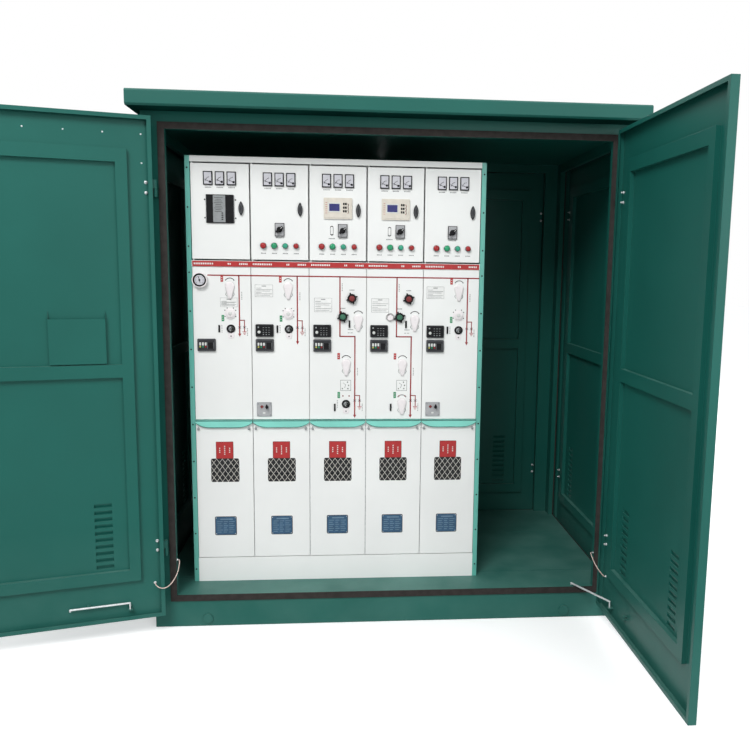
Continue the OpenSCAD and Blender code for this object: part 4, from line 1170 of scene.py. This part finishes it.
def pale_floor():
    """White to the eye with the part's shadow on it, and greyer to the light it throws back."""
    material, tree, links = new_material("pale_floor")
    shader = tree["Principled BSDF"]
    shader.inputs["Roughness"].default_value = 0.9
    shader.inputs["Emission Color"].default_value = (1, 1, 1, 1)
    seen = seen_rays(tree, links)
    colour = tree.new("ShaderNodeMix")
    colour.data_type = "RGBA"
    colour.inputs["A"].default_value = (0.3, 0.3, 0.3, 1)
    colour.inputs["B"].default_value = (0.86, 0.86, 0.86, 1)
    links.new(seen, colour.inputs["Factor"])
    links.new(colour.outputs["Result"], shader.inputs["Base Color"])
    links.new(mapped(tree, links, seen, 0.0, 0.32), shader.inputs["Emission Strength"])
    return material


def make_floor():
    corners = [(x, y, 0) for x, y in rect(FLOOR_SIDE, FLOOR_SIDE)]
    mesh = bpy.data.meshes.new("floor")
    mesh.from_pydata(corners, [], [[0, 1, 2, 3]])
    mesh.materials.append(pale_floor())
    floor = new_object("floor", mesh)
    floor.location.z = -FLOOR_GAP


def make_world():
    """Soft sky, brighter overhead than at the horizon, that shows as plain white."""
    world = bpy.data.worlds.new("studio")
    bpy.context.scene.world = world
    world.use_nodes = True
    tree = world.node_tree.nodes
    links = world.node_tree.links
    sky = tree["Background"]
    sky.inputs["Color"].default_value = (0.96, 0.98, 1.0, 1)
    rise = upward(tree, links, tree.new("ShaderNodeTexCoord").outputs["Generated"])
    links.new(mapped(tree, links, rise, 0.36, 1.0), sky.inputs["Strength"])
    white = tree.new("ShaderNodeBackground")
    white.inputs["Color"].default_value = (1, 1, 1, 1)
    mix = tree.new("ShaderNodeMixShader")
    links.new(seen_rays(tree, links), mix.inputs["Fac"])
    links.new(sky.outputs["Background"], mix.inputs[1])
    links.new(white.outputs["Background"], mix.inputs[2])
    links.new(mix.outputs["Shader"], tree["World Output"].inputs["Surface"])


def area_light(name, place, target, size, power):
    data = bpy.data.lights.new(name, "AREA")
    data.shape = "DISK"
    data.size = size
    data.energy = power
    light = new_object(name, data)
    light.location = place
    light.rotation_euler = (Vector(target) - Vector(place)).to_track_quat("-Z", "Y").to_euler()


def make_lights():
    area_light("key", (-3.0, -7.5, 7.5), (0, -0.5, 1.3), 4.0, 600)
    area_light("fill", (3.5, -8.0, 3.0), (0, -0.5, 1.3), 4.0, 170)
    area_light("rear", (2.5, 7.5, 6.0), (0, 0.5, 1.4), 5.0, 420)


def make_camera():
    ahead = Vector((-math.sin(YAW) * math.cos(PITCH), math.cos(YAW) * math.cos(PITCH), math.sin(PITCH)))
    level = Vector((math.cos(YAW), math.sin(YAW), 0))
    rise = level.cross(ahead)
    right = level * math.cos(ROLL) + rise * math.sin(ROLL)
    up = rise * math.cos(ROLL) - level * math.sin(ROLL)
    data = bpy.data.cameras.new("camera")
    data.sensor_width = 36
    data.lens = FOCAL / PICTURE * data.sensor_width
    data.shift_x = (PICTURE / 2 - CENTRE_X) / PICTURE
    data.clip_end = 200
    camera = new_object("camera", data)
    camera.matrix_world = Matrix.Translation(EYE) @ Matrix((right, up, -ahead)).transposed().to_4x4()
    bpy.context.scene.camera = camera


make_camera()
dress_leads()
dress_frame()
dress_instrument_doors()
dress_mechanism_panels()
dress_canopies()
dress_cable_covers()
dress_end_covers()
dress_doors()
make_floor()
make_world()
make_lights()
bpy.context.scene.view_settings.view_transform = "Standard"
